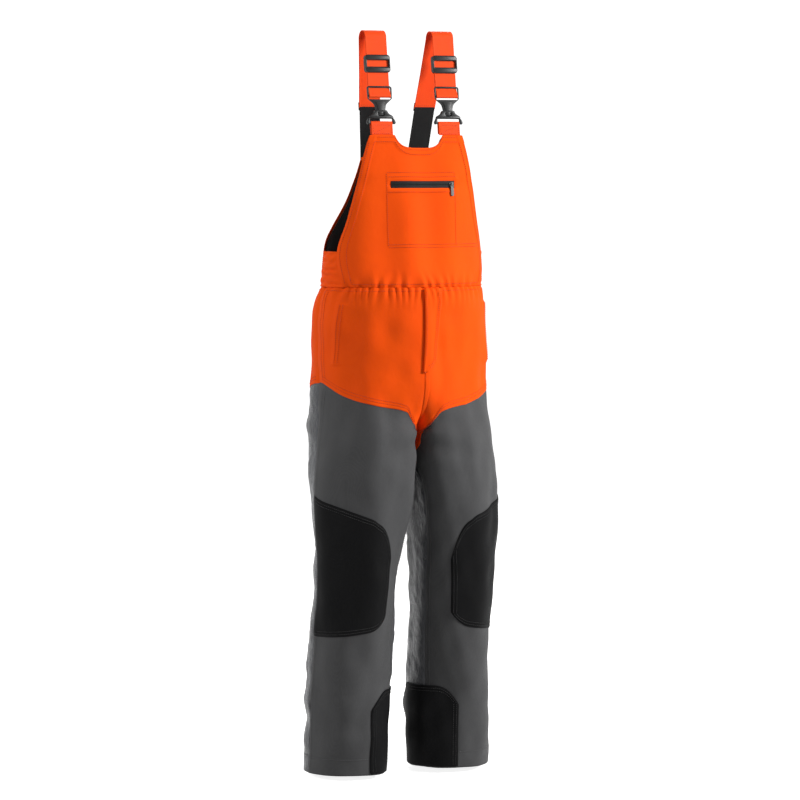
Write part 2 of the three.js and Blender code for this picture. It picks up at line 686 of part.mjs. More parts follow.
function makeBrace(name, side) {
  const front = frontFrame(side);
  const toWorn = (p) => p.clone().applyMatrix4(front.matrix);
  add(`${name}_buckle_keeper`, keeperGeometry(), "plastic", front);
  add(`${name}_buckle_hook`, hookGeometry(), "plastic", front);
  const adjuster = new THREE.Group();
  adjuster.position.z = ADJUSTER_Z;
  front.add(adjuster);
  add(`${name}_adjuster`, adjusterGeometry(), "plastic", adjuster);

  const tabTurn = 2.9;
  const tab = [
    new THREE.Vector3(0, -tabTurn, -53.2),
    ...arc(0, -28, tabTurn, 180, 0, 6),
    new THREE.Vector3(0, tabTurn, -51),
  ];
  add(`${name}_bib_tab`, ribbon(tab, WEBBING_WIDTH, WEBBING), "webbing", front);

  // Down the front, round the crossbar; the turned-back end is a second layer behind it.
  const loopTurn = 3;
  const top = (SHOULDER_Z - BUCKLE_Z) / Math.cos(BRACE_TILT) - 2;
  const down = [
    new THREE.Vector3(0, FRONT_LAYER_Y, top),
    new THREE.Vector3(0, FRONT_LAYER_Y, 54),
    new THREE.Vector3(0, FRONT_LAYER_Y, 46.2),
    ...arc(0, CROSSBAR_Z, loopTurn, 180, 360, 6),
  ];
  const turnback = [
    new THREE.Vector3(0, loopTurn + 0.3, CROSSBAR_Z + 1.2),
    new THREE.Vector3(0, TURNBACK_Y, 43),
    new THREE.Vector3(0, TURNBACK_Y, ADJUSTER_Z + 8),
  ];
  add(`${name}_strap_turnback`, ribbon(turnback, WEBBING_WIDTH - 1, WEBBING), "webbing", front);

  const shoulderStart = toWorn(down[0]);
  const centreY = shoulderStart.y + SHOULDER_RADIUS;
  const centreZ = SHOULDER_Z;
  const overShoulder = arc(centreY, centreZ, SHOULDER_RADIUS, 0, 180, 8);
  const backEnd = new THREE.Vector3(0, 2, ELASTIC_TOP_Z + GAP);
  const backRun = SHOULDER_Z - BACK_TOP_Z;
  const backX = (z) => THREE.MathUtils.lerp(BACK_BRACE_X, BRACE_X, (z - BACK_TOP_Z) / backRun);
  const overTop = [backEnd, new THREE.Vector3(0, -14, 1500), ...overShoulder];
  for (const p of overTop) p.x = side * Math.min(BRACE_X, backX(p.z));
  const strap = [...overTop, ...down.map(toWorn)];
  add(`${name}_strap`, ribbon(strap, WEBBING_WIDTH, WEBBING), "webbing");

  const elastic = [];
  for (const z of [BACK_TOP_Z + 2, 1372, ELASTIC_TOP_Z]) {
    const y = THREE.MathUtils.lerp(18, 2, (z - BACK_TOP_Z) / (ELASTIC_TOP_Z - BACK_TOP_Z));
    elastic.push(new THREE.Vector3(side * backX(z), y, z));
  }
  add(`${name}_elastic`, ribbon(elastic, WEBBING_WIDTH - 2, 2), "elastic");
}

for (const [name, side] of SIDES) {
  makeLeg(name, side);
  makeHips(name, side);
  makeBrace(name, side);
}
makeFly();
makeBib();
makeChestSlider();
makeWaistAndBack();

export default garment;
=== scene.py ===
"""Chainsaw-protective bib-and-brace trousers, sewn piece by piece round their packed frame.

Sizes are in millimetres above the hem, as a tailor would take them, unless a name says otherwise;
place() turns them into the frame's metres. The wearer faces -Y and the wearer's left is +X.
"""

import math

import bmesh
import bpy
import numpy as np
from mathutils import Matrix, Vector


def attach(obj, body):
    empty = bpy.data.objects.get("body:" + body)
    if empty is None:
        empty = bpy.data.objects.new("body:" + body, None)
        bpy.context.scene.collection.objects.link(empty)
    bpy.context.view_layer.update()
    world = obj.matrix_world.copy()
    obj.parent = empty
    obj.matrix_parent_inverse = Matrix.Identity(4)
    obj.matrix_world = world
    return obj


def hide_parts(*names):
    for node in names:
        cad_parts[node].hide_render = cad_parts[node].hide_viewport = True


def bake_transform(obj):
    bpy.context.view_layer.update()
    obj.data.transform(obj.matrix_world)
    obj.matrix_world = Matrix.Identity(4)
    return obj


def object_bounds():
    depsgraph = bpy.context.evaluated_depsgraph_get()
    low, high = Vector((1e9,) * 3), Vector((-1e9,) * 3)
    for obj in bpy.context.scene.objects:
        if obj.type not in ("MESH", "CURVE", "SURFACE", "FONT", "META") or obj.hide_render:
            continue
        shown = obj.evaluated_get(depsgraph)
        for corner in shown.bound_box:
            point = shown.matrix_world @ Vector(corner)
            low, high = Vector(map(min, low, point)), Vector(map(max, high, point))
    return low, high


bl_info = {
    "name": "Bib-and-brace saw-protection trousers",
    "version": (1, 0, 0),
    "blender": (4, 5, 0),
    "location": "3D View > Sidebar > Trousers",
    "description": "Sews bib-and-brace trousers with their braces, buckles and zips",
    "category": "Object",
}

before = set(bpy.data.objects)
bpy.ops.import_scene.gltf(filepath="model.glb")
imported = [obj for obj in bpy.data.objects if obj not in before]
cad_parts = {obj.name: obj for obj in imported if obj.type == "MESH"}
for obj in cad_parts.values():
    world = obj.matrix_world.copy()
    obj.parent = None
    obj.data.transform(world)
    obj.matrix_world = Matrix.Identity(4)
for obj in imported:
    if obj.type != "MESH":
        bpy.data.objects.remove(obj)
CAD_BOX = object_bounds()

SIDES = (("right", -1), ("left", 1))
GARMENT = "garment"

# ---- heights above the hem ----
HEM_TOP = 35
ANKLE_PATCH_TOP = 180
KNEE_LOW = 299
KNEE_HIGH = 603
PAD_TURNS = (0.12, 1.5)
PAD_LOW = 42
PAD_HIGH = 758
CROTCH = 737
RISE_TOP = 850
INSEAM_TOP = 730
WAIST = 1045
ARMHOLE = 1120
CHEST_ZIP = 1263
NECK = 1340
BIB_TOP = 1367
BACK_TOP = 1320
ELASTIC_TOP = 1425
BUCKLE = 1421
SHOULDER = 1573

# ---- braces ----
BRACE_X = 79
BACK_BRACE_X = 55
BRACE_TILT = math.radians(8)
BUCKLE_Y = -84
SHOULDER_RADIUS = 16.5
CROSSBAR = 29.75
ADJUSTER = 99
WEBBING_WIDTH = 50
WEBBING = 1.6

# ---- zips ----
CHEST_ZIP_MIDDLE = 8
CHEST_ZIP_HALF = 74

# The row's origin, between the undersides of the shoulder loops, above the hem's middle.
HANG_POINT = np.array([0.0, -46.138, SHOULDER + SHOULDER_RADIUS - WEBBING / 2])

# Leg sections: height, outer, inner, front and back reach, and squareness of the inner front.
LEG = (
    (0, 209, 35, -85, 97, 2.0),
    (200, 208, 31, -100, 86, 2.0),
    (430, 204, 26, -124, 66, 2.1),
    (600, 207, 8, -146, 86, 2.8),
    (740, 196, 0.6, -148, 132, 3.6),
)
# Hips and waist: height, half-width, front and back reach.
HIP = (
    (700, 194, -148, 140),
    (850, 193, -150, 142),
    (960, 192, -150, 136),
    (1010, 189, -148, 124),
    (WAIST, 180, -144, 106),
)
# Chest and back: height, half-width of the full ellipse, front, side and back reach.
TORSO = (
    (WAIST, 180, -144, -19, 106),
    (ARMHOLE, 178, -129, -30, 84),
    (CHEST_ZIP, 170, -115, -44, 43),
    (NECK, 165, -103, -52, 18),
    (1400, 165, -96, -58, 10),
)
BIB_HALF_WIDTH = ((WAIST, 161), (ARMHOLE, 169), (1190, 153), (CHEST_ZIP, 135), (1340, 116), (1372, 106))
BACK_HALF_WIDTH = ((WAIST, 161), (ARMHOLE, 168), (1170, 138), (1220, 110), (1270, 90), (1324, 77))
FRONT_SEAM = (
    (0, 845), (0.4, 818), (1, 797), (1.45, 786), (1.58, 776), (1.67, 745), (1.74, 712), (2, 686),
)
BACK_SEAM = ((2, 686), (2.3, 743), (2.7, 778), (3.4, 812), (4, 843))
PANEL_WIDTH = 270
GROOVE_WIDTH = 5
INSEAM_TURN = 0.32
INSEAM_RUN = 130
KNEE_OUTER_TURN = 0.03
KNEE_INNER_TURN = 1.29
# About how wide one quarter turn of a leg is.
TURN_WIDTH = 135


# ---- pockets and fly ----
SLASH_LOW = 883
SLASH_HEIGHT = 128
SLASH_HIGH = SLASH_LOW + SLASH_HEIGHT
POCKET_LOW = 1130
POCKET_HIGH = 1288
POCKET_HALF = 82
POCKET_RIGHT, POCKET_LEFT = -75, 82
POCKET_SEAM_END = 152
RISE_SEAM_LOW = 748
FLY_LOW = 866
FLY_BEND = 900

# ---- rows of stitches, from the edge that they follow ----
RIM_ROWS = (4, 14)
PATCH_ROWS = (5, 11)
YOKE_ROWS = (5, 11)
SIDE_ROWS = (0.035, 0.075)
BARTACK_HEIGHTS = (1311, 1316)

# ---- how far the cloth folds in and out ----
SOFT_FOLD = 8.0
FINE_FOLD = 2.1
KNEE_FOLD = 4.0
SEAT_FOLD = 3.0
HEM_FOLD = 2.4
CROTCH_CREASE = 3.6
WAIST_GATHER = 2.3
WAIST_GROOVE = 2.6
BIB_FOLD = 4.8
BIB_GATHER = 2.4

# ---- how thick the cloths are ----
SHELL = 1.2
LINING = 1.0
PATCH = 1.3
BIB_SHELL = 1.3
PAD = 6


# ---------------------------------------------------------------- sizes and surfaces


def place(points):
    """Millimetres above the hem into the frame's metres."""
    return (np.asarray(points, float) - HANG_POINT) / 1000


def read(table, at, column=1):
    """A smooth curve through the rows of a table, read in one column."""
    rows = np.asarray(table, float)
    x, y = rows[:, 0], rows[:, column]
    at = np.asarray(at, float)
    i = np.clip(np.searchsorted(x, at, side="right") - 1, 0, len(x) - 2)
    slope = np.empty(len(x))
    slope[1:-1] = (y[2:] - y[:-2]) / (x[2:] - x[:-2])
    slope[0] = (y[1] - y[0]) / (x[1] - x[0])
    slope[-1] = (y[-1] - y[-2]) / (x[-1] - x[-2])
    span = x[i + 1] - x[i]
    t = np.clip((at - x[i]) / span, 0, 1)
    low = (2 * t**3 - 3 * t**2 + 1) * y[i] + (t**3 - 2 * t**2 + t) * span * slope[i]
    return low + (3 * t**2 - 2 * t**3) * y[i + 1] + (t**3 - t**2) * span * slope[i + 1]


def smooth(t):
    """An even rise from 0 to 1 as t goes from 0 to 1."""
    s = np.clip(t, 0, 1)
    return s * s * (3 - 2 * s)


def ridge(distance, width):
    """1 on a line and 0 further than width from it."""
    return np.exp(-((distance / width) ** 2))


def lengths_along(path):
    """The distance along a path at each of its points."""
    return np.concatenate([[0], np.cumsum(np.linalg.norm(np.diff(path, axis=0), axis=1))])


def waves(seed, count, length, points, stretch=(1, 1, 1)):
    """Soft noise from -1 to 1: a seeded sum of plane waves about length apart."""
    draw = np.random.default_rng(seed)
    total = np.zeros(points.shape[:-1])
    for _ in range(count):
        way = draw.normal(size=3)
        way = way / np.linalg.norm(way) / np.asarray(stretch)
        pace = 2 * math.pi / (length * draw.uniform(0.7, 1.5))
        total += np.sin(points @ way * pace + draw.uniform(0, 2 * math.pi))
    return total / math.sqrt(count / 2) / 2


def trouser_surface(side, turn, z):
    """A point of one half of the trousers, without folds.

    turn counts quarter turns round the leg: 0 side seam, 1 front, 2 inner side, 3 back, 4 side seam.
    """
    turn, z = np.broadcast_arrays(np.asarray(turn, float), np.asarray(z, float))
    back = turn > 2
    outer, inner, front, rear = (read(LEG, z, column) for column in (1, 2, 3, 4))
    angle = turn * math.pi / 2
    power = np.where((turn > 1) & (turn < 2), 2 / read(LEG, z, 5), 1.0)
    cosine, sine = np.cos(angle), np.sin(angle)
    leg_x = (outer + inner) / 2 + (outer - inner) / 2 * np.sign(cosine) * np.abs(cosine) ** power
    leg_y = (front + rear) / 2 - (rear - front) / 2 * np.sign(sine) * np.abs(sine) ** power
    from_side = np.clip(np.where(back, 4 - turn, turn), 0, 2)
    bearing = math.pi / 2 * (1 - (from_side / 2) ** 0.65)
    hip_front, hip_back = read(HIP, z, 2), read(HIP, z, 3)
    hip_x = read(HIP, z, 1) * np.sin(bearing)
    reach = (hip_back - hip_front) / 2 * np.cos(bearing)
    hip_y = (hip_front + hip_back) / 2 + np.where(back, reach, -reach)
    rise = np.clip((z - CROTCH) / (RISE_TOP - CROTCH), 0, 1)
    at_centre = np.sqrt(1 - (1 - rise) ** 2)
    at_side = smooth((z - 690) / 160)
    hip = at_side + (at_centre - at_side) * smooth((from_side - 0.9) / 1.1)
    x = leg_x + (hip_x - leg_x) * hip
    y = leg_y + (hip_y - leg_y) * hip
    return np.stack([side * np.maximum(x, 0.3), y, z], -1)


def outward_of(side, flat, z):
    """The way out of the trousers at a point: from the hips' middle, or below them the leg's."""
    middle_x = np.where(z > CROTCH, 0, side * (read(LEG, z, 1) + read(LEG, z, 2)) / 2)
    middle_y = (read(LEG, z, 3) + read(LEG, z, 4)) / 2
    return flat - np.stack([middle_x, middle_y, z], -1)


def inseam_shift(z):
    """How many turns the inseam lies in front of the inner side at a height."""
    return INSEAM_TURN * (1 - smooth((z - INSEAM_TOP + INSEAM_RUN) / INSEAM_RUN))


def torso_surface(x, z, back=False):
    """A point of the chest or the back at a distance x from the middle."""
    fall = 1 - np.sqrt(np.clip(1 - (x / read(TORSO, z, 1)) ** 2, 0, 1))
    near = read(TORSO, z, 4 if back else 2)
    return np.stack([x, near + fall * (read(TORSO, z, 3) - near), z + 0 * x], -1)


def side_surface(side, along, z):
    """The side of the waist, from the bib's edge (0) round to the back's edge (1)."""
    reach = read(TORSO, z, 1)
    start = np.arcsin(read(BIB_HALF_WIDTH, z) / reach) - math.pi / 2
    end = math.pi / 2 - np.arcsin(read(BACK_HALF_WIDTH, z) / reach)
    angle = start + (end - start) * along
    middle = read(TORSO, z, 3)
    depth = np.where(angle < 0, middle - read(TORSO, z, 2), read(TORSO, z, 4) - middle)
    return np.stack([side * reach * np.cos(angle), middle + depth * np.sin(angle), z + 0 * angle], -1)


def trouser_folds(side, turn, z):
    """How far the cloth of the trousers stands out or in, in millimetres."""
    flat = trouser_surface(side, turn, z)
    soft = SOFT_FOLD * waves(11 + side, 14, 120, flat, (1, 1, 3.4))
    fine = FINE_FOLD * waves(31 + side, 16, 52, flat, (1, 1, 1.5))
    # Slack gathers across the back of the knee and stacks a little over the hem.
    behind = smooth((turn - 2.1) / 0.5) * smooth((4.1 - turn) / 0.4)
    bend = flat[..., 2] + 14 * np.sin(turn * 2.1) + 8 * waves(5, 6, 120, flat)
    knee = KNEE_FOLD * np.sin(bend / 17) * ridge(z - 455, 90) * behind
    seat = SEAT_FOLD * np.sin((bend + 30 * turn) / 15) * ridge(z - 735, 50) * behind
    stack = HEM_FOLD * np.sin(bend / 13 + 2 * turn) * ridge(z - 120, 75) * (0.35 + 0.65 * behind)
    # Creases run from the crotch across the thigh, as on any pair of trousers that hangs.
    pull = flat[..., 2] - 742 + 34 * np.abs(2 - turn)
    whiskers = CROTCH_CREASE * np.sin(pull / 11) * ridge(pull, 45) * smooth((turn - 0.7) / 0.9)
    whiskers = whiskers * (turn < 2.01)
    pinned = smooth((WAIST - 6 - z) / 60)
    gather = WAIST_GATHER * np.sin(turn * 42 + 3 * waves(3, 6, 60, flat)) * ridge(WAIST - z, 26)
    gather = gather - WAIST_GROOVE * ridge(WAIST - z, 7)
    # Both halves keep to the same line where they are sewn together in the middle.
    joined = 1 - (1 - smooth(np.abs(turn - 2) / 0.45)) * smooth((z - 600) / 80)
    return ((soft + fine + whiskers) * joined + knee + seat + stack) * pinned + gather


def bib_folds(x, z):
    """How far the cloth of the bib or the back stands out or in, in millimetres."""
    flat = np.stack([x, 0 * x, z + 0 * x], -1)
    soft = BIB_FOLD * waves(71, 12, 80, flat, (1, 1, 4.0))
    gather = BIB_GATHER * np.sin(x / 3.9 + 3.0 * waves(73, 8, 60, flat)) * ridge(z - WAIST, 22)
    gather = gather - WAIST_GROOVE * ridge(z - WAIST, 7)
    hold = smooth((z - WAIST + 4) / 40) * (1 - 0.7 * ridge(z - CHEST_ZIP, 18))
    return soft * hold + gather


# ---------------------------------------------------------------- meshes


def normals_of(grid, outward):
    """Unit normals of a grid of points, all on the outward side."""
    down, across = np.gradient(grid, axis=(0, 1))
    normal = np.cross(across, down)
    normal /= np.maximum(np.linalg.norm(normal, axis=-1, keepdims=True), 1e-9)
    flip = np.sum(normal * outward, axis=-1).mean() < 0
    return -normal if flip else normal


def closed_sheet(name, grid, normal, thickness, material):
    """A closed cloth sheet: grid is its outer face, with a turned, rounded edge."""
    rows, columns = grid.shape[:2]
    inner = grid - normal * thickness
    points = [grid.reshape(-1, 3), inner.reshape(-1, 3)]
    at = np.arange(rows * columns).reshape(rows, columns)
    under = at + rows * columns
    faces = []

    def quads(a, b, c, d):
        faces.extend(zip(a.ravel().tolist(), b.ravel().tolist(), c.ravel().tolist(), d.ravel().tolist()))

    quads(at[:-1, :-1], at[:-1, 1:], at[1:, 1:], at[1:, :-1])
    quads(under[:-1, :-1], under[1:, :-1], under[1:, 1:], under[:-1, 1:])
    ring = np.concatenate([at[0, :], at[1:, -1], at[-1, -2::-1], at[-2:0:-1, 0]])
    edge = grid.reshape(-1, 3)[ring]
    edge_in = inner.reshape(-1, 3)[ring]
    inside = np.concatenate([grid[1, :], grid[1:, -2], grid[-2, -2::-1], grid[-2:0:-1, 1]])
    push = edge - inside
    push /= np.maximum(np.linalg.norm(push, axis=1, keepdims=True), 1e-9)
    bulge = np.linalg.norm(edge - edge_in, axis=1, keepdims=True) * 0.5
    points.append((edge + edge_in) / 2 + push * bulge)
    first = 2 * rows * columns
    count = len(ring)
    for i in range(count):
        j = (i + 1) % count
        a, b = int(ring[i]), int(ring[j])
        faces.append((b, a, first + i, first + j))
        faces.append((first + j, first + i, a + rows * columns, b + rows * columns))
    mesh = bpy.data.meshes.new(name)
    mesh.from_pydata(place(np.concatenate(points)).tolist(), [], faces)
    return finish_mesh(name, mesh, material)


def finish_mesh(name, mesh, material, smooth_faces=True):
    """Points a mesh's faces outwards, gives it its material and makes its object."""
    work = bmesh.new()
    work.from_mesh(mesh)
    bmesh.ops.recalc_face_normals(work, faces=work.faces)
    work.to_mesh(mesh)
    work.free()
    for polygon in mesh.polygons:
        polygon.use_smooth = smooth_faces
    mesh.materials.append(material_for(material))
    piece = bpy.data.objects.new(f"{name}_finished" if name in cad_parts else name, mesh)
    bpy.context.scene.collection.objects.link(piece)
    return piece


def trouser_grid(turns, low, high, step):
    """Turns and heights of a panel's grid; low and high may change with the turn."""
    start, end = turns
    columns = max(int((end - start) * TURN_WIDTH / step), 3)
    u = np.linspace(0, 1, columns + 1)[None, :]
    turn = start + (end - start) * u
    bottom = low(turn) if callable(low) else np.full(turn.shape, float(low))
    top = high(turn) if callable(high) else np.full(turn.shape, float(high))
    rows = max(int((top.max() - bottom.min()) / step), 3)
    v = np.linspace(0, 1, rows + 1)[:, None]
    z = bottom + (top - bottom) * v
    return turn, z, u, v


def panel_points(side, turn, z, u, back, follow_inseam):
    """The draped points of a trouser panel, their outward normals and their turns."""
    turn = turn + 0 * z
    if follow_inseam:
        turn = turn - (1 - u if back else u) * inseam_shift(z)
    flat = trouser_surface(side, turn, z)
    outward = outward_of(side, flat, z)
    normal = normals_of(flat, outward)
    draped = flat + normal * trouser_folds(side, turn, z)[..., None]
    return draped, normals_of(draped, outward), turn


def trouser_panel(
    name, side, turns, low, high, proud, thickness, material,
    shape=None, follow_inseam=True, step=6.0,
):
    """One sewn panel of a trouser half, proud millimetres outside the shell.

    shape adds to how proud it is. A panel that isn't a sheet, such as a pad, has held=None.
    """
    turn, z, u, v = trouser_grid(turns, low, high, step)
    grid, normal, turned = panel_points(side, turn, z, u, turns[0] >= 2, follow_inseam)
    lift = np.full(grid.shape[:2], float(proud))
    if shape is not None:
        lift = lift + shape(turned, z, u + 0 * z, v + 0 * z)
    grid = grid + normal * lift[..., None]
    piece = ride_on(closed_sheet(name, grid, normal, thickness, material), GARMENT, material, name)
    return piece


# ---------------------------------------------------------------- materials


class Value:
    """A socket in a material's node tree, so that shader maths reads as sums."""

    def __init__(self, tree, socket):
        self.tree = tree
        self.socket = socket

    def maths(self, operation, first, second=None):
        inputs = {0: first} if second is None else {0: first, 1: second}
        return node(self.tree, "ShaderNodeMath", {"operation": operation}, inputs)

    def __add__(self, other):
        return self.maths("ADD", self, other)

    def __radd__(self, other):
        return self.maths("ADD", other, self)

    def __sub__(self, other):
        return self.maths("SUBTRACT", self, other)

    def __rsub__(self, other):
        return self.maths("SUBTRACT", other, self)

    def __mul__(self, other):
        return self.maths("MULTIPLY", self, other)

    def __rmul__(self, other):
        return self.maths("MULTIPLY", other, self)

    def sine(self):
        return self.maths("SINE", self)

    def clamped(self):
        return node(self.tree, "ShaderNodeClamp", {}, {"Value": self})


def node(tree, kind, settings, inputs, output=0):
    """Adds one node: its settings first, then the values or links of its sockets."""
    made = tree.nodes.new(kind)
    for name, value in settings.items():
        setattr(made, name, value)
    for name, value in inputs.items():
        if isinstance(value, Value):
            tree.links.new(value.socket, made.inputs[name])
        else:
            made.inputs[name].default_value = value
    return Value(tree, made.outputs[output])


def mix_colour(tree, factor, first, second):
    """A colour between two others."""
    inputs = {0: factor, 6: first, 7: second}
    return node(tree, "ShaderNodeMix", {"data_type": "RGBA"}, inputs, 2)


def new_material(name, constants):
    """An empty material with a Principled shader whose unchanging values are set on its sockets."""
    material = bpy.data.materials.new(name)
    material.use_nodes = True
    shader = material.node_tree.nodes["Principled BSDF"]
    for socket, value in constants.items():
        shader.inputs[socket].default_value = value
    return material, material.node_tree, shader


def feed(tree, shader, **links):
    """Links values to the shader's sockets."""
    for name, value in links.items():
        tree.links.new(value.socket, shader.inputs[name.replace("_", " ")])


def place_vector(tree):
    """A point's own place, in metres."""
    return node(tree, "ShaderNodeTexCoord", {}, {}, 3)


def noise(tree, vector, scale, detail=3.0, roughness=0.5):
    """Noise from 0 to 1."""
    inputs = {"Vector": vector, "Scale": scale, "Detail": detail, "Roughness": roughness}
    return node(tree, "ShaderNodeTexNoise", {}, inputs)


def stretched(tree, vector, scale):
    """A place scaled differently along each axis."""
    inputs = {0: vector, 1: scale}
    return node(tree, "ShaderNodeVectorMath", {"operation": "MULTIPLY"}, inputs)


def bump(tree, height, distance, strength=1.0, under=None):
    """A surface bent by a height, over another if one is given."""
    inputs = {"Height": height, "Distance": distance, "Strength": strength}
    if under is not None:
        inputs["Normal"] = under
    return node(tree, "ShaderNodeBump", {}, inputs)


def axis_of(tree, vector, axis):
    return node(tree, "ShaderNodeSeparateXYZ", {}, {0: vector}, axis)


def woven_cloth(name, colour, lit, rough, thread, relief, sheen, crinkle=0.0):
    """Woven cloth: crossing threads, slow dye variation and, if wanted, a crinkled surface."""
    constants = {"Sheen Weight": sheen, "Sheen Roughness": 0.5, "Specular IOR Level": 0.05 + 1.3 * sheen}
    material, tree, shader = new_material(name, constants)
    where = place_vector(tree)
    around = axis_of(tree, where, 0) + axis_of(tree, where, 1)
    warp = (around * (2 * math.pi / thread)).sine() * 0.5 + 0.5
    weft = ((axis_of(tree, where, 2) + around * 0.5) * (2 * math.pi / thread)).sine() * 0.5 + 0.5
    weave = warp * 0.45 + weft * 0.55
    blotch = noise(tree, where, 9.0, 5.0, 0.6)
    slub = noise(tree, stretched(tree, where, (900, 900, 60)), 1.0, 2.0)
    # tone runs from the shaded colour to the lit one: painted light and shade in slow blotches, with some dye
    # and thread variation.
    tone = (blotch * 0.7 + slub * 0.25 + weave * 0.2).clamped()
    feed(tree, shader, Base_Color=mix_colour(tree, tone, colour, lit))
    feed(tree, shader, Roughness=blotch * 0.16 + (rough - 0.08))
    creased = bump(tree, noise(tree, where, 42.0, 4.0, 0.62), 0.0016, 0.5)
    if crinkle:
        sharp = noise(tree, stretched(tree, where, (1, 1, 0.55)), 34.0, 6.0, 0.7)
        folded = node(tree, "ShaderNodeMath", {"operation": "ABSOLUTE"}, {0: sharp - 0.5})
        creased = bump(tree, folded, crinkle, 1.0, creased)
    feed(tree, shader, Normal=bump(tree, weave, relief, 0.7, creased))
    return material


def banded_webbing(name, colour, lit, rough, rib, relief):
    """Webbing or elastic: ribs across its length with a herringbone of threads in them."""
    constants = {"Sheen Weight": 0.03, "Specular IOR Level": 0.15}
    material, tree, shader = new_material(name, constants)
    where = place_vector(tree)
    across = axis_of(tree, where, 0)
    slope = node(tree, "ShaderNodeMath", {"operation": "PINGPONG"}, {0: across, 1: 0.004})
    ribs = ((axis_of(tree, where, 2) + slope * 0.5) * (2 * math.pi / rib)).sine() * 0.5 + 0.5
    threads = (across * (2 * math.pi / 0.0012)).sine() * 0.5 + 0.5
    blotch = noise(tree, where, 60.0, 4.0, 0.6)
    # tone runs from the shaded colour to the lit one with the ribs, threads and blotches: painted light and
    # shade over the weave's own pattern.
    tone = (ribs * 0.45 + threads * 0.15 + blotch * 0.4).clamped()
    feed(tree, shader, Base_Color=mix_colour(tree, tone, colour, lit))
    feed(tree, shader, Roughness=blotch * 0.2 + (rough - 0.1))
    feed(tree, shader, Normal=bump(tree, ribs + threads * 0.4, relief, 0.9))
    return material


def moulded_plastic(name):
    """Satin black acetal with a fine spark-eroded grain and scuffed patches."""
    constants = {"Specular IOR Level": 0.28, "IOR": 1.48}
    material, tree, shader = new_material(name, constants)
    where = place_vector(tree)
    grain = noise(tree, where, 1400.0, 2.0)
    scuff = noise(tree, where, 75.0, 5.0, 0.65)
    dark, worn = (0.002, 0.002, 0.0022, 1), (0.008, 0.008, 0.0085, 1)
    feed(tree, shader, Base_Color=mix_colour(tree, scuff, dark, worn))
    feed(tree, shader, Roughness=scuff * 0.22 + 0.24)
    feed(tree, shader, Normal=bump(tree, grain + scuff * 0.6, 0.00012, 0.6))
    return material


def plated_metal(name):
    """Dull nickel plating, rubbed brighter where it is handled."""
    material, tree, shader = new_material(name, {"Metallic": 1.0})
    where = place_vector(tree)
    rub = noise(tree, where, 320.0, 4.0, 0.6)
    dull, bright = (0.012, 0.012, 0.0125, 1), (0.09, 0.09, 0.088, 1)
    feed(tree, shader, Base_Color=mix_colour(tree, rub, dull, bright))
    feed(tree, shader, Roughness=rub * 0.25 + 0.4)
    feed(tree, shader, Normal=bump(tree, rub, 0.0001, 0.4))
    return material


def felt(name):
    """Felt-like layers of long pale protective fibres."""
    material, tree, shader = new_material(name, {"Sheen Weight": 0.4, "Specular IOR Level": 0.1})
    where = place_vector(tree)
    fibres = noise(tree, stretched(tree, where, (60, 60, 700)), 1.0, 6.0, 0.7)
    tone = (fibres * 0.8 + noise(tree, where, 20.0) * 0.3).clamped()
    feed(tree, shader, Base_Color=mix_colour(tree, tone, (0.5, 0.45, 0.34, 1), (0.85, 0.8, 0.68, 1)))
    feed(tree, shader, Roughness=fibres * 0.1 + 0.85)
    feed(tree, shader, Normal=bump(tree, fibres, 0.0008, 0.8))
    return material


# Cloths: shaded colour, lit colour, roughness, and thread and relief in metres, then sheen, and
# how deep the crinkles are, if there are any.
CLOTHS = {
    "light_nylon": (
        (0.022, 0.023, 0.026, 1), (0.075, 0.078, 0.086, 1), 0.3, 0.0008, 0.00005, 0.14, 0.009,
    ),
    "patch_black": ((0.0015, 0.0015, 0.0016, 1), (0.008, 0.008, 0.0085, 1), 0.6, 0.0018, 0.0003, 0.0),
    "lining_black": ((0.004, 0.004, 0.0045, 1), (0.013, 0.013, 0.014, 1), 0.85, 0.001, 0.0001, 0.15),
    "stitch_orange": ((0.32, 0.02, 0.002, 1), (0.6, 0.055, 0.006, 1), 0.6, 0.0006, 0.0001, 0.1),
    "stitch_black": ((0.006, 0.006, 0.006, 1), (0.03, 0.03, 0.03, 1), 0.6, 0.0006, 0.0001, 0.1),
    "stitch_grey": ((0.05, 0.05, 0.05, 1), (0.14, 0.14, 0.14, 1), 0.6, 0.0006, 0.0001, 0.1),
}
# Webbings: shaded colour, lit colour, roughness, and rib and relief in metres.
WEBBINGS = {
    "webbing_orange": ((0.8, 0.04, 0.0, 1), (1.0, 0.09, 0.001, 1), 0.6, 0.0022, 0.00022),
    "elastic_black": ((0.001, 0.001, 0.001, 1), (0.007, 0.007, 0.0075, 1), 0.75, 0.0024, 0.0003),
    "zip_black": ((0.001, 0.001, 0.001, 1), (0.006, 0.006, 0.0065, 1), 0.55, 0.0015, 0.00015),
}
OTHERS = {"saw_pad": felt, "buckle_plastic": moulded_plastic, "zip_metal": plated_metal}
MATERIALS = {}


def shell_cloth(name):
    """The orange or the grey cloth of the shell, in the colours that the user has set."""
    looks = bpy.context.scene.trouser_looks
    if name == "shell_orange":
        # The user's orange is the lit colour and deep is a painted-shade copy of it.
        deep = tuple(c * s for c, s in zip(looks.shell_orange, (0.86, 0.62, 0.5)))
        return woven_cloth(name, (*deep, 1), (*looks.shell_orange, 1), 0.78, 0.0011, 0.00012, 0.01)
    grey = looks.shell_grey
    # dark and lit are painted-shade and painted-light copies of the user's grey.
    dark, lit = ((grey * s, grey * s, grey * blue, 1) for s, blue in ((0.6, 0.62), (1.6, 1.64)))
    return woven_cloth(name, dark, lit, 0.72, 0.0012, 0.00014, 0.1)


def material_for(name):
    """The finish of that name, made the first time it is asked for."""
    if name not in MATERIALS:
        if name in CLOTHS:
            MATERIALS[name] = woven_cloth(name, *CLOTHS[name])
        elif name in WEBBINGS:
            MATERIALS[name] = banded_webbing(name, *WEBBINGS[name])
        else:
            MATERIALS[name] = OTHERS.get(name, shell_cloth)(name)
    return MATERIALS[name]


# ---------------------------------------------------------------- stitching and trims


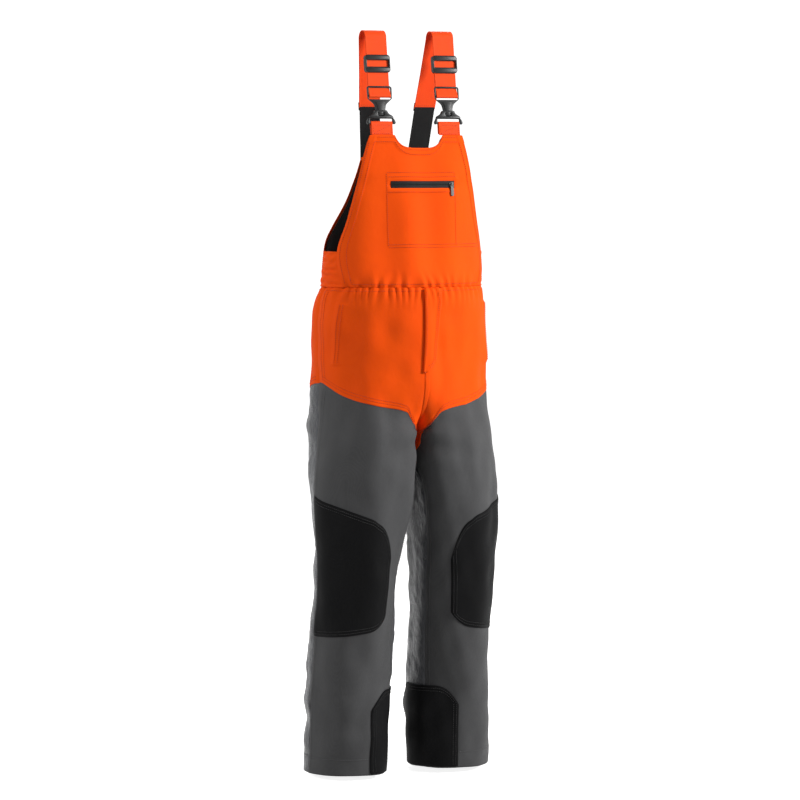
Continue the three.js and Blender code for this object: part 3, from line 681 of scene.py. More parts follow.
def trouser_at(side, turn, z, lift=0.0):
    """Draped points of the trousers at these turns and heights, lifted outwards, and their normals."""
    turn, z = np.broadcast_arrays(np.asarray(turn, float), np.asarray(z, float))
    further = np.where(turn <= 2, np.minimum(turn + 0.01, 2), turn + 0.01)
    nearer = np.where(turn > 2, np.maximum(turn - 0.01, 2.0001), turn - 0.01)
    across = trouser_surface(side, further, z) - trouser_surface(side, nearer, z)
    along = trouser_surface(side, turn, z + 2) - trouser_surface(side, turn, z - 2)
    normal = np.cross(across, along)
    normal /= np.maximum(np.linalg.norm(normal, axis=-1, keepdims=True), 1e-9)
    flat = trouser_surface(side, turn, z)
    outward = outward_of(side, flat, z)
    normal = normal * np.sign(np.sum(normal * outward, -1, keepdims=True))
    return flat + normal * (trouser_folds(side, turn, z) + lift)[..., None], normal


def torso_at(x, z, lift=0.0, back=False):
    """Draped points of the bib or the back, lifted outwards, and their normals."""
    x, z = np.broadcast_arrays(np.asarray(x, float), np.asarray(z, float))
    across = torso_surface(x + 1, z, back) - torso_surface(x - 1, z, back)
    along = torso_surface(x, z + 2, back) - torso_surface(x, z - 2, back)
    normal = np.cross(across, along)
    normal /= np.linalg.norm(normal, axis=-1, keepdims=True)
    normal = normal * (1 if back else -1) * np.sign(normal[..., 1:2])
    folds = bib_folds(x + (900 if back else 0), z)
    return torso_surface(x, z, back) + normal * (folds + lift)[..., None], normal


STITCH = 3.4
STITCH_GAP = 1.3
THREAD = 0.55


def stitch_row(name, rows, material):
    """Rows of stitches: each is a thread that dives into the cloth at both ends."""
    points, faces = [], []
    for path, normals in rows:
        lengths = lengths_along(path)
        if lengths[-1] < STITCH:
            continue
        starts = np.arange(1.0, lengths[-1] - STITCH, STITCH + STITCH_GAP)

        def at(values, table):
            return np.stack([np.interp(values, lengths, table[:, i]) for i in range(3)], -1)

        first, last = at(starts, path), at(starts + STITCH, path)
        up = at(starts + STITCH / 2, normals)
        along = last - first
        along /= np.linalg.norm(along, axis=1, keepdims=True)
        aside = np.cross(along, up)
        middle = (first + last) / 2
        ring = [aside * THREAD, up * THREAD * 1.2, -aside * THREAD, -up * THREAD * 0.6]
        for i in range(len(starts)):
            base = len(points)
            points.append(first[i] - up[i] * 0.3)
            points.extend(middle[i] - along[i] * STITCH * 0.25 + r[i] for r in ring)
            points.extend(middle[i] + along[i] * STITCH * 0.25 + r[i] for r in ring)
            points.append(last[i] - up[i] * 0.3)
            for k in range(4):
                n = (k + 1) % 4
                faces.append((base, base + 1 + n, base + 1 + k))
                faces.append((base + 1 + k, base + 1 + n, base + 5 + n, base + 5 + k))
                faces.append((base + 9, base + 5 + k, base + 5 + n))
    mesh = bpy.data.meshes.new(name)
    mesh.from_pydata(place(np.array(points)).tolist(), [], faces)
    return finish_mesh(name, mesh, material)


def ride_on(piece, body, slot, *nodes):
    """Fixes a piece to its body and says which slot and nodes it stands for."""
    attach(piece, body)
    if nodes:
        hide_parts(*nodes)
    return piece


def run(start, end, steps=60):
    """Evenly spaced numbers."""
    return np.linspace(start, end, steps)


# ---------------------------------------------------------------- legs


def seam_groove(deep=1.4):
    """A panel's edges pull in where they are sewn to the next panel."""

    def shape(turn, z, u, v):
        distance = np.minimum(u, 1 - u) * PANEL_WIDTH
        return -deep * ridge(distance, GROOVE_WIDTH)

    return shape


def knee_corner(turn, start):
    """From 0 at a turn to 1 at the inner edge of the knee patch."""
    return (np.maximum(turn - start, 0) / (KNEE_INNER_TURN - start)) ** 2


def knee_top(turn):
    """The upper edge of the knee patch, which falls towards the inner leg."""
    return KNEE_HIGH - 52 * turn - 75 * knee_corner(turn, 0.9)


def knee_low(turn):
    """The lower edge of the knee patch, which rises towards the inner leg."""
    return KNEE_LOW + 13 * turn * turn + 24 * knee_corner(turn, 1)


ANKLE_FROM, ANKLE_TO = 1.12, 2.5
ANKLE_CORNER = 0.38
# How far outside the shell the stitches on a patch lie.
PATCH_TOP = 3.5


def ankle_top(turn):
    """The upper edge of the ankle patch, with rounded corners."""
    past = [ANKLE_FROM + ANKLE_CORNER - turn, turn - ANKLE_TO + ANKLE_CORNER, 0 * turn]
    return ANKLE_PATCH_TOP - 40 * (np.maximum.reduce(past) / ANKLE_CORNER) ** 2


def make_leg_shells():
    """The grey front panel and the crinkled nylon back panel of each leg."""
    groove = seam_groove()
    for name, side in SIDES:

        def crinkle(turn, z, u, v):
            flat = trouser_surface(side, turn, z)
            return groove(turn, z, u, v) + 0.8 * waves(97 + side, 18, 22, flat, (1, 1, 0.8))

        trouser_panel(
            f"{name}_leg_front", side, (0.0, 2.0), 0, lambda turn: read(FRONT_SEAM, turn) + 5,
            0.6, SHELL, "shell_grey", shape=groove, step=4.0,
        )
        trouser_panel(
            f"{name}_leg_back", side, (2.0, 4.0), 0, lambda turn: read(BACK_SEAM, turn) + 5,
            0.0, LINING, "light_nylon", shape=crinkle, step=5.0,
        )


def make_leg_patches():
    """The black knee and ankle patches, turned under and topstitched all round."""

    def turned_under(turn, z, u, v):
        return -0.9 * ridge(np.minimum(u, 1 - u) * 170, 2.2) - 0.9 * ridge(np.minimum(v, 1 - v) * 240, 2.2)

    for name, side in SIDES:
        trouser_panel(
            f"{name}_knee_patch", side, (KNEE_OUTER_TURN, KNEE_INNER_TURN), knee_low, knee_top, 3.2, PATCH,
            "patch_black", shape=turned_under, follow_inseam=False, step=5.0,
        )
        trouser_panel(
            f"{name}_ankle_patch", side, (ANKLE_FROM, ANKLE_TO), 3, ankle_top, 3.2, PATCH,
            "patch_black", follow_inseam=False, step=5.0,
        )
        rows = []
        for inset in PATCH_ROWS:
            inside = inset / TURN_WIDTH
            turn = run(KNEE_OUTER_TURN + inside, KNEE_INNER_TURN - inside, 70)
            top = knee_top(turn) - inset
            low = knee_low(turn) + inset
            rows.append(trouser_at(side, turn, top, PATCH_TOP))
            rows.append(trouser_at(side, turn, low, PATCH_TOP))
            rows.append(trouser_at(side, turn[-1], run(low[-1], top[-1]), PATCH_TOP))
            turn = run(ANKLE_FROM + inside, ANKLE_TO - inside)
            top = ankle_top(turn) - inset
            rows.append(trouser_at(side, turn, top, PATCH_TOP))
            rows.append(trouser_at(side, turn[0], run(6, top[0]), PATCH_TOP))
            rows.append(trouser_at(side, turn[-1], run(6, top[-1]), PATCH_TOP))
        ride_on(stitch_row(f"{name}_patch_stitching", rows, "stitch_black"), GARMENT, "patch_black")


def make_leg_insides():
    """Saw-protection pads, leg linings and turned-up hems."""

    def pad_top(turn):
        return np.minimum(PAD_HIGH, read(FRONT_SEAM, turn) - 14)

    def quilt(turn, z, u, v):
        return -1.2 * ridge(np.abs(((u * 5) % 1) - 0.5) * 40, 3)

    for name, side in SIDES:
        pad = trouser_panel(
            f"{name}_saw_pad", side, PAD_TURNS, PAD_LOW, pad_top, -5.6, PAD,
            "saw_pad", shape=quilt, follow_inseam=False, step=9.0,
        )
        trouser_panel(
            f"{name}_leg_lining", side, PAD_TURNS, PAD_LOW, pad_top, -13.8, LINING,
            "lining_black", follow_inseam=False, step=9.0,
        )
        trouser_panel(
            f"{name}_hem_turn_up", side, (0.04, 1.96), 1, HEM_TOP, -1.2, LINING,
            "shell_grey", follow_inseam=False,
        )


def make_leg_stitching():
    """Double rows along the inseam and side seam, and one row round the hem."""
    for name, side in SIDES:
        grey, orange = [], []
        for offset in SIDE_ROWS:
            z = run(6, 700, 220)
            grey.append(trouser_at(side, 2 - inseam_shift(z) - offset, z, 1.0))
            z = run(6, 830, 260)
            grey.append(trouser_at(side, 0 * z + offset, z, 1.0))
        turn = run(0.02, 1.1, 90)
        grey.append(trouser_at(side, turn, 0 * turn + HEM_TOP, 0.9))
        turn = run(2.55, 3.98, 90)
        grey.append(trouser_at(side, turn, 0 * turn + HEM_TOP, 0.5))
        for above in YOKE_ROWS:
            turn = run(0.02, 1.95, 160)
            orange.append(trouser_at(side, turn, read(FRONT_SEAM, turn) + above, 1.9))
            turn = run(2.05, 3.98, 160)
            orange.append(trouser_at(side, turn, read(BACK_SEAM, turn) + above, 1.4))
        ride_on(stitch_row(f"{name}_leg_stitching", grey, "stitch_grey"), GARMENT, "shell_grey")
        ride_on(stitch_row(f"{name}_yoke_stitching", orange, "stitch_orange"), GARMENT, "shell_orange")


# ---------------------------------------------------------------- hips and fly


def make_middle_seam(name, turn, low, high, lift):
    """A felled strip over the seam where the two halves of the trousers meet."""
    z = run(low, high, 60)
    right, right_normal = trouser_at(-1, turn + 0 * z, z, lift)
    left, left_normal = trouser_at(1, turn + 0 * z, z, lift)
    share = np.linspace(0, 1, 5)[None, :, None]
    grid = right[:, None] * (1 - share) + left[:, None] * share
    normal = right_normal[:, None] * (1 - share) + left_normal[:, None] * share
    normal = normal / np.linalg.norm(normal, axis=-1, keepdims=True)
    piece = closed_sheet(name, grid, normal, 0.9, "shell_orange")
    ride_on(piece, GARMENT, "shell_orange")


def pocket_edge(z):
    """The turn of the slash pocket's open edge at a height."""
    return 0.2 + 0.09 * (z - SLASH_LOW) / SLASH_HEIGHT


def make_hips():
    """The orange hip fronts and seats, with slash pockets and their bags."""
    groove = seam_groove(1.2)

    def pocketed(turn, z, u, v):
        edge = pocket_edge(z)
        inside = smooth((SLASH_HIGH + 4 - z) / 8) * smooth((z - SLASH_LOW + 7) / 8)
        lip = 3.4 * smooth((turn - edge + 0.012) / 0.024) * ridge(turn - edge, 0.16)
        return groove(turn, z, u, v) + lip * inside

    for name, side in SIDES:
        trouser_panel(
            f"{name}_hip_front", side, (0.0, 2.0), lambda turn: read(FRONT_SEAM, turn) - 3, WAIST,
            1.4, SHELL, "shell_orange", shape=pocketed, step=4.5,
        )
        trouser_panel(
            f"{name}_seat", side, (2.0, 4.0), lambda turn: read(BACK_SEAM, turn) - 3, WAIST,
            1.0, SHELL, "shell_orange", shape=groove, step=5.0,
        )
        trouser_panel(
            f"{name}_hip_pocket_bag", side, (0.24, 1.15), SLASH_LOW - 25, SLASH_HIGH + 7, -2.0, LINING,
            "lining_black", step=9.0,
        )
        z = run(SLASH_LOW + 1, SLASH_HIGH)
        edge = pocket_edge(z)
        rows = [trouser_at(side, edge + 0.05, z, 5.3), trouser_at(side, edge + 0.1, z, 5.0)]
        z = run(850, 1036, 70)
        rows += [
            trouser_at(side, 0 * z + SIDE_ROWS[0], z, 1.9),
            trouser_at(side, 0 * z + SIDE_ROWS[1], z, 2.0),
        ]
        for offset in (0.05, 0.1):
            z = run(700, 1036, 110)
            rows.append(trouser_at(side, 2 + offset + 0 * z, z, 1.4))
        turn = run(0.03, 1.97, 150)
        rows.append(trouser_at(side, turn, 0 * turn + WAIST - 7, 2.0))
        turn = run(2.03, 3.97, 150)
        rows.append(trouser_at(side, turn, 0 * turn + WAIST - 7, 1.6))
        ride_on(stitch_row(f"{name}_hip_stitching", rows, "stitch_orange"), GARMENT, "shell_orange")
    make_middle_seam("front_rise_seam", 1.95, RISE_SEAM_LOW, FLY_LOW + 4, 2.4)
    make_middle_seam("back_rise_seam", 2.04, RISE_SEAM_LOW, WAIST - 3, 2.0)


def front_turn(x, z):
    """The turn of a point at a distance x from the front middle, above the crotch."""
    bearing = np.arcsin(np.clip(np.abs(x) / read(HIP, z, 1), 0, 1))
    return 2 * (1 - bearing / (math.pi / 2)) ** (1 / 0.65)


def fly_at(x, z, lift):
    """A point over the front middle, which may lie on either half."""
    x, z = np.broadcast_arrays(np.asarray(x, float), np.asarray(z, float))
    turn = front_turn(x, z)
    right, right_normal = trouser_at(-1, turn, z, lift)
    left, left_normal = trouser_at(1, turn, z, lift)
    share = smooth((x + 6) / 12)[..., None]
    point = right * (1 - share) + left * share
    point[..., 0] = x
    normal = right_normal * (1 - share) + left_normal * share
    return point, normal / np.linalg.norm(normal, axis=-1, keepdims=True)


def make_fly():
    """The fly: its flap, the zip under it and the shield behind."""

    def patch(name, from_x, to_x, low, high, lift, thickness, material, cells, bulge=0.0):
        u = np.linspace(0, 1, cells + 1)[None, :]
        z = np.linspace(low, high, int((high - low) / 4) + 1)[:, None]
        x = from_x(z) + (to_x(z) - from_x(z)) * u
        grid, normal = fly_at(x, z + 0 * x, lift)
        if bulge:
            grid = grid + normal * (bulge * ridge(u * 38, 6) * (1 - ridge(u * 38, 1.6)))[..., None]
        piece = ride_on(closed_sheet(name, grid, normal, thickness, material), GARMENT, material, name)

    def edge(z):
        return -12 + 6 * smooth((z - 800) / 170)

    def sewn(z):
        return 38 - (WAIST - z) / 10 - 20 * (1 - smooth((z - 864) / 36))

    def level(x):
        return lambda z: 0 * z + x

    patch("fly_flap", edge, sewn, FLY_LOW, WAIST - 2, 5.6, SHELL, "shell_orange", 12, bulge=1.0)
    patch("fly_shield", level(-22), level(22), FLY_LOW, WAIST - 6, -4.4, SHELL, "shell_orange", 8)
    patch("fly_zip_tape", level(-6.5), level(6.5), 877, 1030, -0.4, LINING, "zip_black", 4)
    z = run(FLY_BEND, WAIST - 6)
    rows = []
    for inset in (3, 8):
        curve = run(0, math.pi / 2, 24)
        bottom_x = (sewn(np.array(float(FLY_BEND))) - inset) * np.cos(curve)
        bottom_z = FLY_BEND - (28 - inset) * np.sin(curve)
        rows.append(fly_at(sewn(z) - inset, z, 7.4))
        rows.append(fly_at(bottom_x, bottom_z, 7.0))
    rows.append(fly_at(edge(z) + 3, z, 7.6))
    ride_on(stitch_row("fly_stitching", rows, "stitch_orange"), GARMENT, "shell_orange")


# ---------------------------------------------------------------- bib and back


def neck_height(x):
    """The top of the bib: a scooped neck between two tabs."""
    scoop = np.minimum(1, np.abs(x - 3) / 56)
    return NECK + (BIB_TOP - NECK) * scoop**4


def torso_sheet(
    name, half_width, low, high, lift, thickness, material,
    shape=None, back=False, middle=0.0, step=5.0,
):
    """A panel of the chest or back between two heights, as wide as half_width says."""
    widest = float(np.max(half_width(np.linspace(low, BIB_TOP, 9))))
    u = np.linspace(-1, 1, int(2 * widest / step) + 1)[None, :]
    if callable(high):
        top = high(u * float(half_width(np.array(float(BIB_TOP)))))
        rows = int((BIB_TOP - low) / step) + 1
    else:
        top = high
        rows = int((high - low) / step) + 2
    v = np.linspace(0, 1, rows)[:, None]
    z = low + (top - low) * v + 0 * u
    x = middle + u * half_width(z)
    rise = np.full(x.shape, float(lift))
    if shape is not None:
        rise = rise + shape(x, z, u + 0 * x, v + 0 * x)
    grid, normal = torso_at(x, z, rise, back)
    piece = ride_on(closed_sheet(name, grid, normal, thickness, material), GARMENT, material, name)


def bib_width(z):
    """Half the width of the bib at a height."""
    return read(BIB_HALF_WIDTH, z)


def back_width(z):
    """Half the width of the back at a height."""
    return read(BACK_HALF_WIDTH, z)


def make_bib():
    """The bib with its rolled edges and chest pocket, its lining and the pocket bag."""

    def rolled(x, z, u, v):
        distance = (1 - np.abs(u)) * bib_width(z)
        from_top = (1 - v) * 300
        lip = 1.2 * smooth((16 - distance) / 3) + 1.2 * smooth((16 - from_top) / 3)
        past_end = np.abs(x - CHEST_ZIP_MIDDLE) - CHEST_ZIP_HALF
        slot = -2.6 * ridge(z - CHEST_ZIP, 6) * smooth((4 - past_end) / 5)
        welt = 1.4 * ridge(np.abs(z - CHEST_ZIP) - 12, 5) * smooth((12 - past_end) / 5)
        return np.maximum(lip, 0) + slot + welt

    torso_sheet("bib_front", bib_width, WAIST + 1, neck_height, 0.6, BIB_SHELL, "shell_orange",
                shape=rolled, step=3.5)
    torso_sheet("bib_lining", lambda z: bib_width(z) - 5, WAIST + 3, lambda x: neck_height(x) - 4,
                -7.5, 1.0, "lining_black", step=8.0)
    torso_sheet("chest_pocket_bag", lambda z: 0 * z + POCKET_HALF, POCKET_LOW + 1, POCKET_HIGH - 2,
                -2.4, LINING, "lining_black",
                middle=CHEST_ZIP_MIDDLE, step=8.0)
    rows = []
    x = run(-bib_width(BIB_TOP) + 4, bib_width(BIB_TOP) - 4, 120)
    for inset in RIM_ROWS:
        rows.append(torso_at(x, neck_height(x) - inset, 2.2))
        z = run(WAIST + 8, BIB_TOP - 8, 160)
        for side in (-1, 1):
            rows.append(torso_at(side * (bib_width(z) - inset), z, 2.2))
    z = run(POCKET_LOW + 2, POCKET_HIGH, 80)
    for x_edge in (POCKET_RIGHT, POCKET_LEFT):
        rows.append(torso_at(x_edge + 0 * z, z, 1.2))
    rows.append(torso_at(run(POCKET_RIGHT, POCKET_LEFT, 80), POCKET_HIGH, 1.2))
    for z_row in (POCKET_LOW, POCKET_LOW + 6):
        rows.append(torso_at(run(POCKET_RIGHT, POCKET_SEAM_END, 100), z_row, 1.2))
    for edge in (-16, 16):
        x = CHEST_ZIP_MIDDLE + run(-POCKET_HALF + 2, POCKET_HALF - 2, 80)
        rows.append(torso_at(x, CHEST_ZIP + edge, 2.4))
    rows.append(torso_at(run(-bib_width(WAIST) + 3, bib_width(WAIST) - 3, 160), WAIST + 7, 1.2))
    ride_on(stitch_row("bib_stitching", rows, "stitch_orange"), GARMENT, "shell_orange")


def make_back():
    """The back panel with its lining, the ruched sides and the elastic inside the waist."""
    rolled = lambda x, z, u, v: 1.2 * smooth((16 - (1 - np.abs(u)) * back_width(z)) / 3)
    torso_sheet("back_panel", back_width, WAIST + 1, BACK_TOP, 0.6, BIB_SHELL, "shell_orange",
                shape=rolled, back=True)
    torso_sheet("back_lining", lambda z: back_width(z) - 3, WAIST + 9, BACK_TOP - 4, -3.2, 1.0,
                "lining_black", back=True, step=8.0)
    torso_sheet("waist_elastic", lambda z: back_width(z) * 0.88, WAIST + 4, WAIST + 44, -8.6, 1.4,
                "elastic_black", back=True)
    rows = []
    for inset in RIM_ROWS:
        z = run(WAIST + 8, BACK_TOP - 4, 140)
        for side in (-1, 1):
            rows.append(torso_at(side * (back_width(z) - inset), z, 2.2, True))
        x = run(-back_width(BACK_TOP) + 3, back_width(BACK_TOP) - 3, 60)
        rows.append(torso_at(x, BACK_TOP - inset, 1.4, True))
    for height in (10, 22, 34, 46):
        x = run(-back_width(WAIST) + 3, back_width(WAIST) - 3, 160)
        rows.append(torso_at(x, WAIST + height, 1.0, True))
    ride_on(stitch_row("back_stitching", rows, "stitch_orange"), GARMENT, "shell_orange")
    for name, side in SIDES:
        along = np.linspace(-0.02, 1.02, 22)[None, :]
        z = np.linspace(WAIST + 1, ARMHOLE, 60)[:, None]
        grid = side_surface(side, along, z + 0 * along)
        away = (grid - (0, -40, 0)) * (1, 1, 0)
        normal = normals_of(grid, away)
        at_edges = smooth(along * 6) * smooth((1 - along) * 6)
        ruche = 1.3 * np.sin(z / 2.4 + 2 * waves(41, 6, 30, grid)) * at_edges
        grid = grid + normal * (ruche + 1.6)[..., None]
        piece = closed_sheet(f"{name}_side_elastic", grid, normal, 2.4, "shell_orange")
        ride_on(piece, GARMENT, "shell_orange", f"{name}_side_elastic")


# ---------------------------------------------------------------- webbing and hardware


def brace_to_worn(side, points):
    """From a brace's own frame (X across, Z up the webbing, -Y outwards) to heights above the hem."""
    local = np.asarray(points, float)
    x = side * BRACE_X + local[..., 0]
    y = BUCKLE_Y + local[..., 1] * math.cos(BRACE_TILT) + local[..., 2] * math.sin(BRACE_TILT)
    z = BUCKLE - local[..., 1] * math.sin(BRACE_TILT) + local[..., 2] * math.cos(BRACE_TILT)
    return np.stack([x, y, z], -1)


def arc(centre_y, centre_z, radius, start, end, steps):
    """A bend in the plane of Y and Z, between two angles in degrees."""
    angle = np.radians(np.linspace(start, end, steps + 1))
    y = centre_y + radius * np.cos(angle)
    return np.stack([0 * angle, y, centre_z + radius * np.sin(angle)], -1)


def resampled(path, step):
    """A path with points about step apart, its corners kept."""
    lengths = lengths_along(path)
    wanted = np.unique(np.concatenate([lengths, np.arange(0, lengths[-1], step)]))
    keep = np.concatenate([[True], np.diff(wanted) > 0.25])
    wanted = wanted[keep]
    return np.stack([np.interp(wanted, lengths, path[:, i]) for i in range(3)], -1)


def band(name, path, width, thickness, material, step=3.0, wavy=0.25):
    """Webbing along a path: rounded selvedges, a slightly crowned middle and closed ends."""
    path = resampled(np.asarray(path, float), step)
    along = np.gradient(path, axis=0)
    along[:, 0] = 0
    along /= np.linalg.norm(along, axis=1, keepdims=True)
    normal = np.stack([0 * along[:, 0], along[:, 2], -along[:, 1]], -1)
    half, flat = width / 2, thickness / 2
    profile = [(-half, 0), (-half + 0.35, flat * 1.05), (-half + 2.2, flat * 1.15), (-half + 3.4, flat * 0.8)]
    inner = [(x, flat) for x in np.linspace(-half + 6, half - 6, 9)]
    upper = profile + inner + [(-x, y) for x, y in profile[::-1]]
    section = np.array(upper + [(x, -y) for x, y in upper[-2:0:-1]])
    drift = wavy * waves(7, 8, 60, path)[:, None] * np.cos(section[:, 0] / half * 2.2)[None, :]
    across = np.array([1.0, 0, 0]) * section[None, :, 0:1]
    out = normal[:, None, :] * (section[None, :, 1:2] + drift[..., None])
    points = path[:, None, :] + across + out
    rows, columns = points.shape[:2]
    faces = []
    for r in range(rows - 1):
        for c in range(columns):
            n = (c + 1) % columns
            faces.append((r * columns + c, r * columns + n, (r + 1) * columns + n, (r + 1) * columns + c))
    faces.append(tuple(range(columns)))
    faces.append(tuple(range((rows - 1) * columns, rows * columns)))
    mesh = bpy.data.meshes.new(name)
    mesh.from_pydata(place(points.reshape(-1, 3)).tolist(), [], faces)
    piece = finish_mesh(name, mesh, material)
    length = float(np.linalg.norm(np.diff(path, axis=0), axis=1).sum()) / 1000
    return piece, width / 1000, length


def rounded(points, radius, steps=4):
    """An outline whose corners are rounded off with short curves."""
    result = []
    count = len(points)
    for i in range(count):
        before, here, after = (np.array(points[(i + k) % count], float) for k in (-1, 0, 1))
        to_before, to_after = before - here, after - here
        reach = min(radius, np.linalg.norm(to_before) * 0.45, np.linalg.norm(to_after) * 0.45)
        start = here + to_before / np.linalg.norm(to_before) * reach
        end = here + to_after / np.linalg.norm(to_after) * reach
        for t in np.linspace(0, 1, steps + 1):
            result.append(tuple((1 - t) ** 2 * start + 2 * t * (1 - t) * here + t**2 * end))
    return result


def other_side(outline):
    """The same outline on the other side of the middle."""
    return [(-x, z) for x, z in reversed(outline)]


def mirrored(half):
    """A whole outline from its right half."""
    return list(half) + other_side(half)


def rectangle(half_width, low, high):
    """A rectangle across the middle, between two heights."""
    return [(-half_width, low), (half_width, low), (half_width, high), (-half_width, high)]


def moulding_layer(outline, holes, front, back, bevel):
    """One moulded plate between two depths with soft edges, as points and faces."""
    curve = bpy.data.curves.new("layer", "CURVE")
    curve.dimensions = "2D"
    curve.fill_mode = "BOTH"
    for loop in [outline, *holes]:
        spline = curve.splines.new("POLY")
        spline.points.add(len(loop) - 1)
        spline.use_cyclic_u = True
        for point, (x, z) in zip(spline.points, loop):
            point.co = (x, z, 0, 1)
    curve.bevel_depth = bevel
    curve.bevel_resolution = 2
    curve.offset = -bevel
    curve.extrude = (back - front) / 2 - bevel
    carrier = bpy.data.objects.new("layer", curve)
    bpy.context.scene.collection.objects.link(carrier)
    bpy.context.view_layer.update()
    mesh = bpy.data.meshes.new_from_object(carrier)
    middle = (front + back) / 2
    points = [(v.co.x, middle - v.co.z, v.co.y) for v in mesh.vertices]
    faces = [tuple(p.vertices) for p in mesh.polygons]
    bpy.data.objects.remove(carrier)
    bpy.data.curves.remove(curve)
    bpy.data.meshes.remove(mesh)
    return points, faces


def moulded_piece(name, side, layers, lift=0.0):
    """A moulded piece in a brace's frame from several plates, lift millimetres up the webbing."""
    points, faces = [], []
    for outline, holes, front, back, bevel in layers:
        made, made_faces = moulding_layer(outline, holes, front, back, bevel)
        base = len(points)
        points.extend((x, y, z + lift) for x, y, z in made)
        faces.extend(tuple(base + i for i in face) for face in made_faces)
    mesh = bpy.data.meshes.new(name)
    mesh.from_pydata(place(brace_to_worn(side, points)).tolist(), [], faces)
    work = bmesh.new()
    work.from_mesh(mesh)
    bmesh.ops.remove_doubles(work, verts=work.verts, dist=0.00001)
    work.to_mesh(mesh)
    work.free()
    piece = finish_mesh(name, mesh, "buckle_plastic")
    sharpen(piece)
    return piece


def sharpen(piece):
    """Flat faces look flat and bevels look round."""
    piece.data.shade_smooth()
    work = bmesh.new()
    work.from_mesh(piece.data)
    for edge in work.edges:
        edge.smooth = edge.calc_face_angle(0.0) < math.radians(32)
    work.to_mesh(piece.data)
    work.free()


def make_buckles():
    """The tongue hooks on the braces and the keepers on the bib."""
    hook_half = [(7, -12), (9.6, -10), (11.4, 0), (14, 12), (24, 20), (28.5, 24), (29, 48), (25, 51)]
    hook = rounded(mirrored(hook_half), 5)
    raised = rounded(mirrored([(3.5, -9), (5.5, -7), (6.6, 2), (8.5, 12), (13, 17.5)]), 3)
    slots = [rounded(rectangle(25.6, 22.5, 28.2), 2), rounded(rectangle(25.6, 31.3, 47.4), 3)]
    slot = rounded(rectangle(25.8, -26.3, -18.9), 2.4)
    window = rounded(rectangle(7.6, -13.2, -3.8), 4)
    upper = rounded(mirrored([(29, -17.6), (27.4, -13.6), (17, -8), (14.5, -1)]), 4)
    rail = rounded([(12.9, -17.4), (26, -17.4), (26, -13.4), (16.4, -8.2), (14.1, -1.6), (12.9, -1.6)], 1)
    for name, side in SIDES:
        layers = [(hook, slots, -1.5, 1.5, 1.0), (raised, [], -2.7, -0.9, 0.7)]
        piece = moulded_piece(f"{name}_buckle_hook", side, layers)
        ride_on(piece, f"{name}_brace", "buckle_plastic", f"{name}_buckle_hook")
        bar = rounded(mirrored([(26, -29.5), (31, -28.5), (32.5, -25), (31, -19), (28, -17)]), 3)
        layers = [
            (bar, [slot], -1.4, 1.4, 0.9),
            (upper, [window], -3.6, -1.9, 0.7),
            (upper, [], 1.9, 3.6, 0.7),
            (rail, [], -2.3, 2.3, 0.3),
            (other_side(rail), [], -2.3, 2.3, 0.3),
        ]
        ears = rounded([(26.2, -30), (32, -31), (34, -27), (31.6, -21), (26.2, -20)], 2.5)
        layers += [(outline, [], -2.6, 2.6, 1.1) for outline in (ears, other_side(ears))]
        piece = moulded_piece(f"{name}_buckle_keeper", side, layers)
        ride_on(piece, GARMENT, "buckle_plastic", f"{name}_buckle_keeper")


def make_adjusters():
    """The sliding adjusters: a frame with a bar above and below a window of webbing."""
    frame_outline = rounded(mirrored([(25, -19), (29, -15), (29, 15), (25, 19)]), 3)
    window = rounded(rectangle(25.5, -6.6, 7.6), 2)
    back_window = rounded(rectangle(25.6, -14, 14), 2)
    rail = [(26.2, -17), (28.6, -14), (28.6, 14), (26.2, 17)]
    bar = rounded(mirrored([(25.6, 8.4), (27.6, 9.4), (27.6, 16), (25.6, 17.4)]), 1.5)
    low_bar = [(x, -z) for x, z in reversed(bar)]
    for name, side in SIDES:
        layers = [
            (frame_outline, [window], -1.8, 1.1, 0.9),
            (frame_outline, [back_window], 6.5, 8.2, 0.7),
            (rail, [], 0.2, 7.4, 0.2),
            (other_side(rail), [], 0.2, 7.4, 0.2),
            (bar, [], -3.0, -1.0, 0.9),
            (low_bar, [], -3.0, -1.0, 0.9),
        ]
        piece = moulded_piece(f"{name}_adjuster", side, layers, ADJUSTER)
        ride_on(piece, f"{name}_slide_adjuster", "buckle_plastic", f"{name}_adjuster")


def back_x(z):
    """How far a brace lies from the middle of the back at a height."""
    return BACK_BRACE_X + (BRACE_X - BACK_BRACE_X) * (z - BACK_TOP) / (SHOULDER - BACK_TOP)


def box_stitching(name, side, low, high, depth, body, slot, material):
    """A sewn square with its diagonals on the front of a brace."""
    half = WEBBING_WIDTH / 2 - 4
    out = brace_to_worn(side, [(0, -1, 0)])[0] - brace_to_worn(side, [(0, 0, 0)])[0]
    corners = [(-half, low), (half, low), (half, high), (-half, high), (-half, low), (half, high)]
    rows = []
    for (xa, za), (xb, zb) in zip(corners[:-1], corners[1:]):
        line = [(xa + (xb - xa) * t, -depth, za + (zb - za) * t) for t in np.linspace(0, 1, 12)]
        rows.append((brace_to_worn(side, line), np.tile(out, (12, 1))))
    return ride_on(stitch_row(name, rows, material), body, slot)


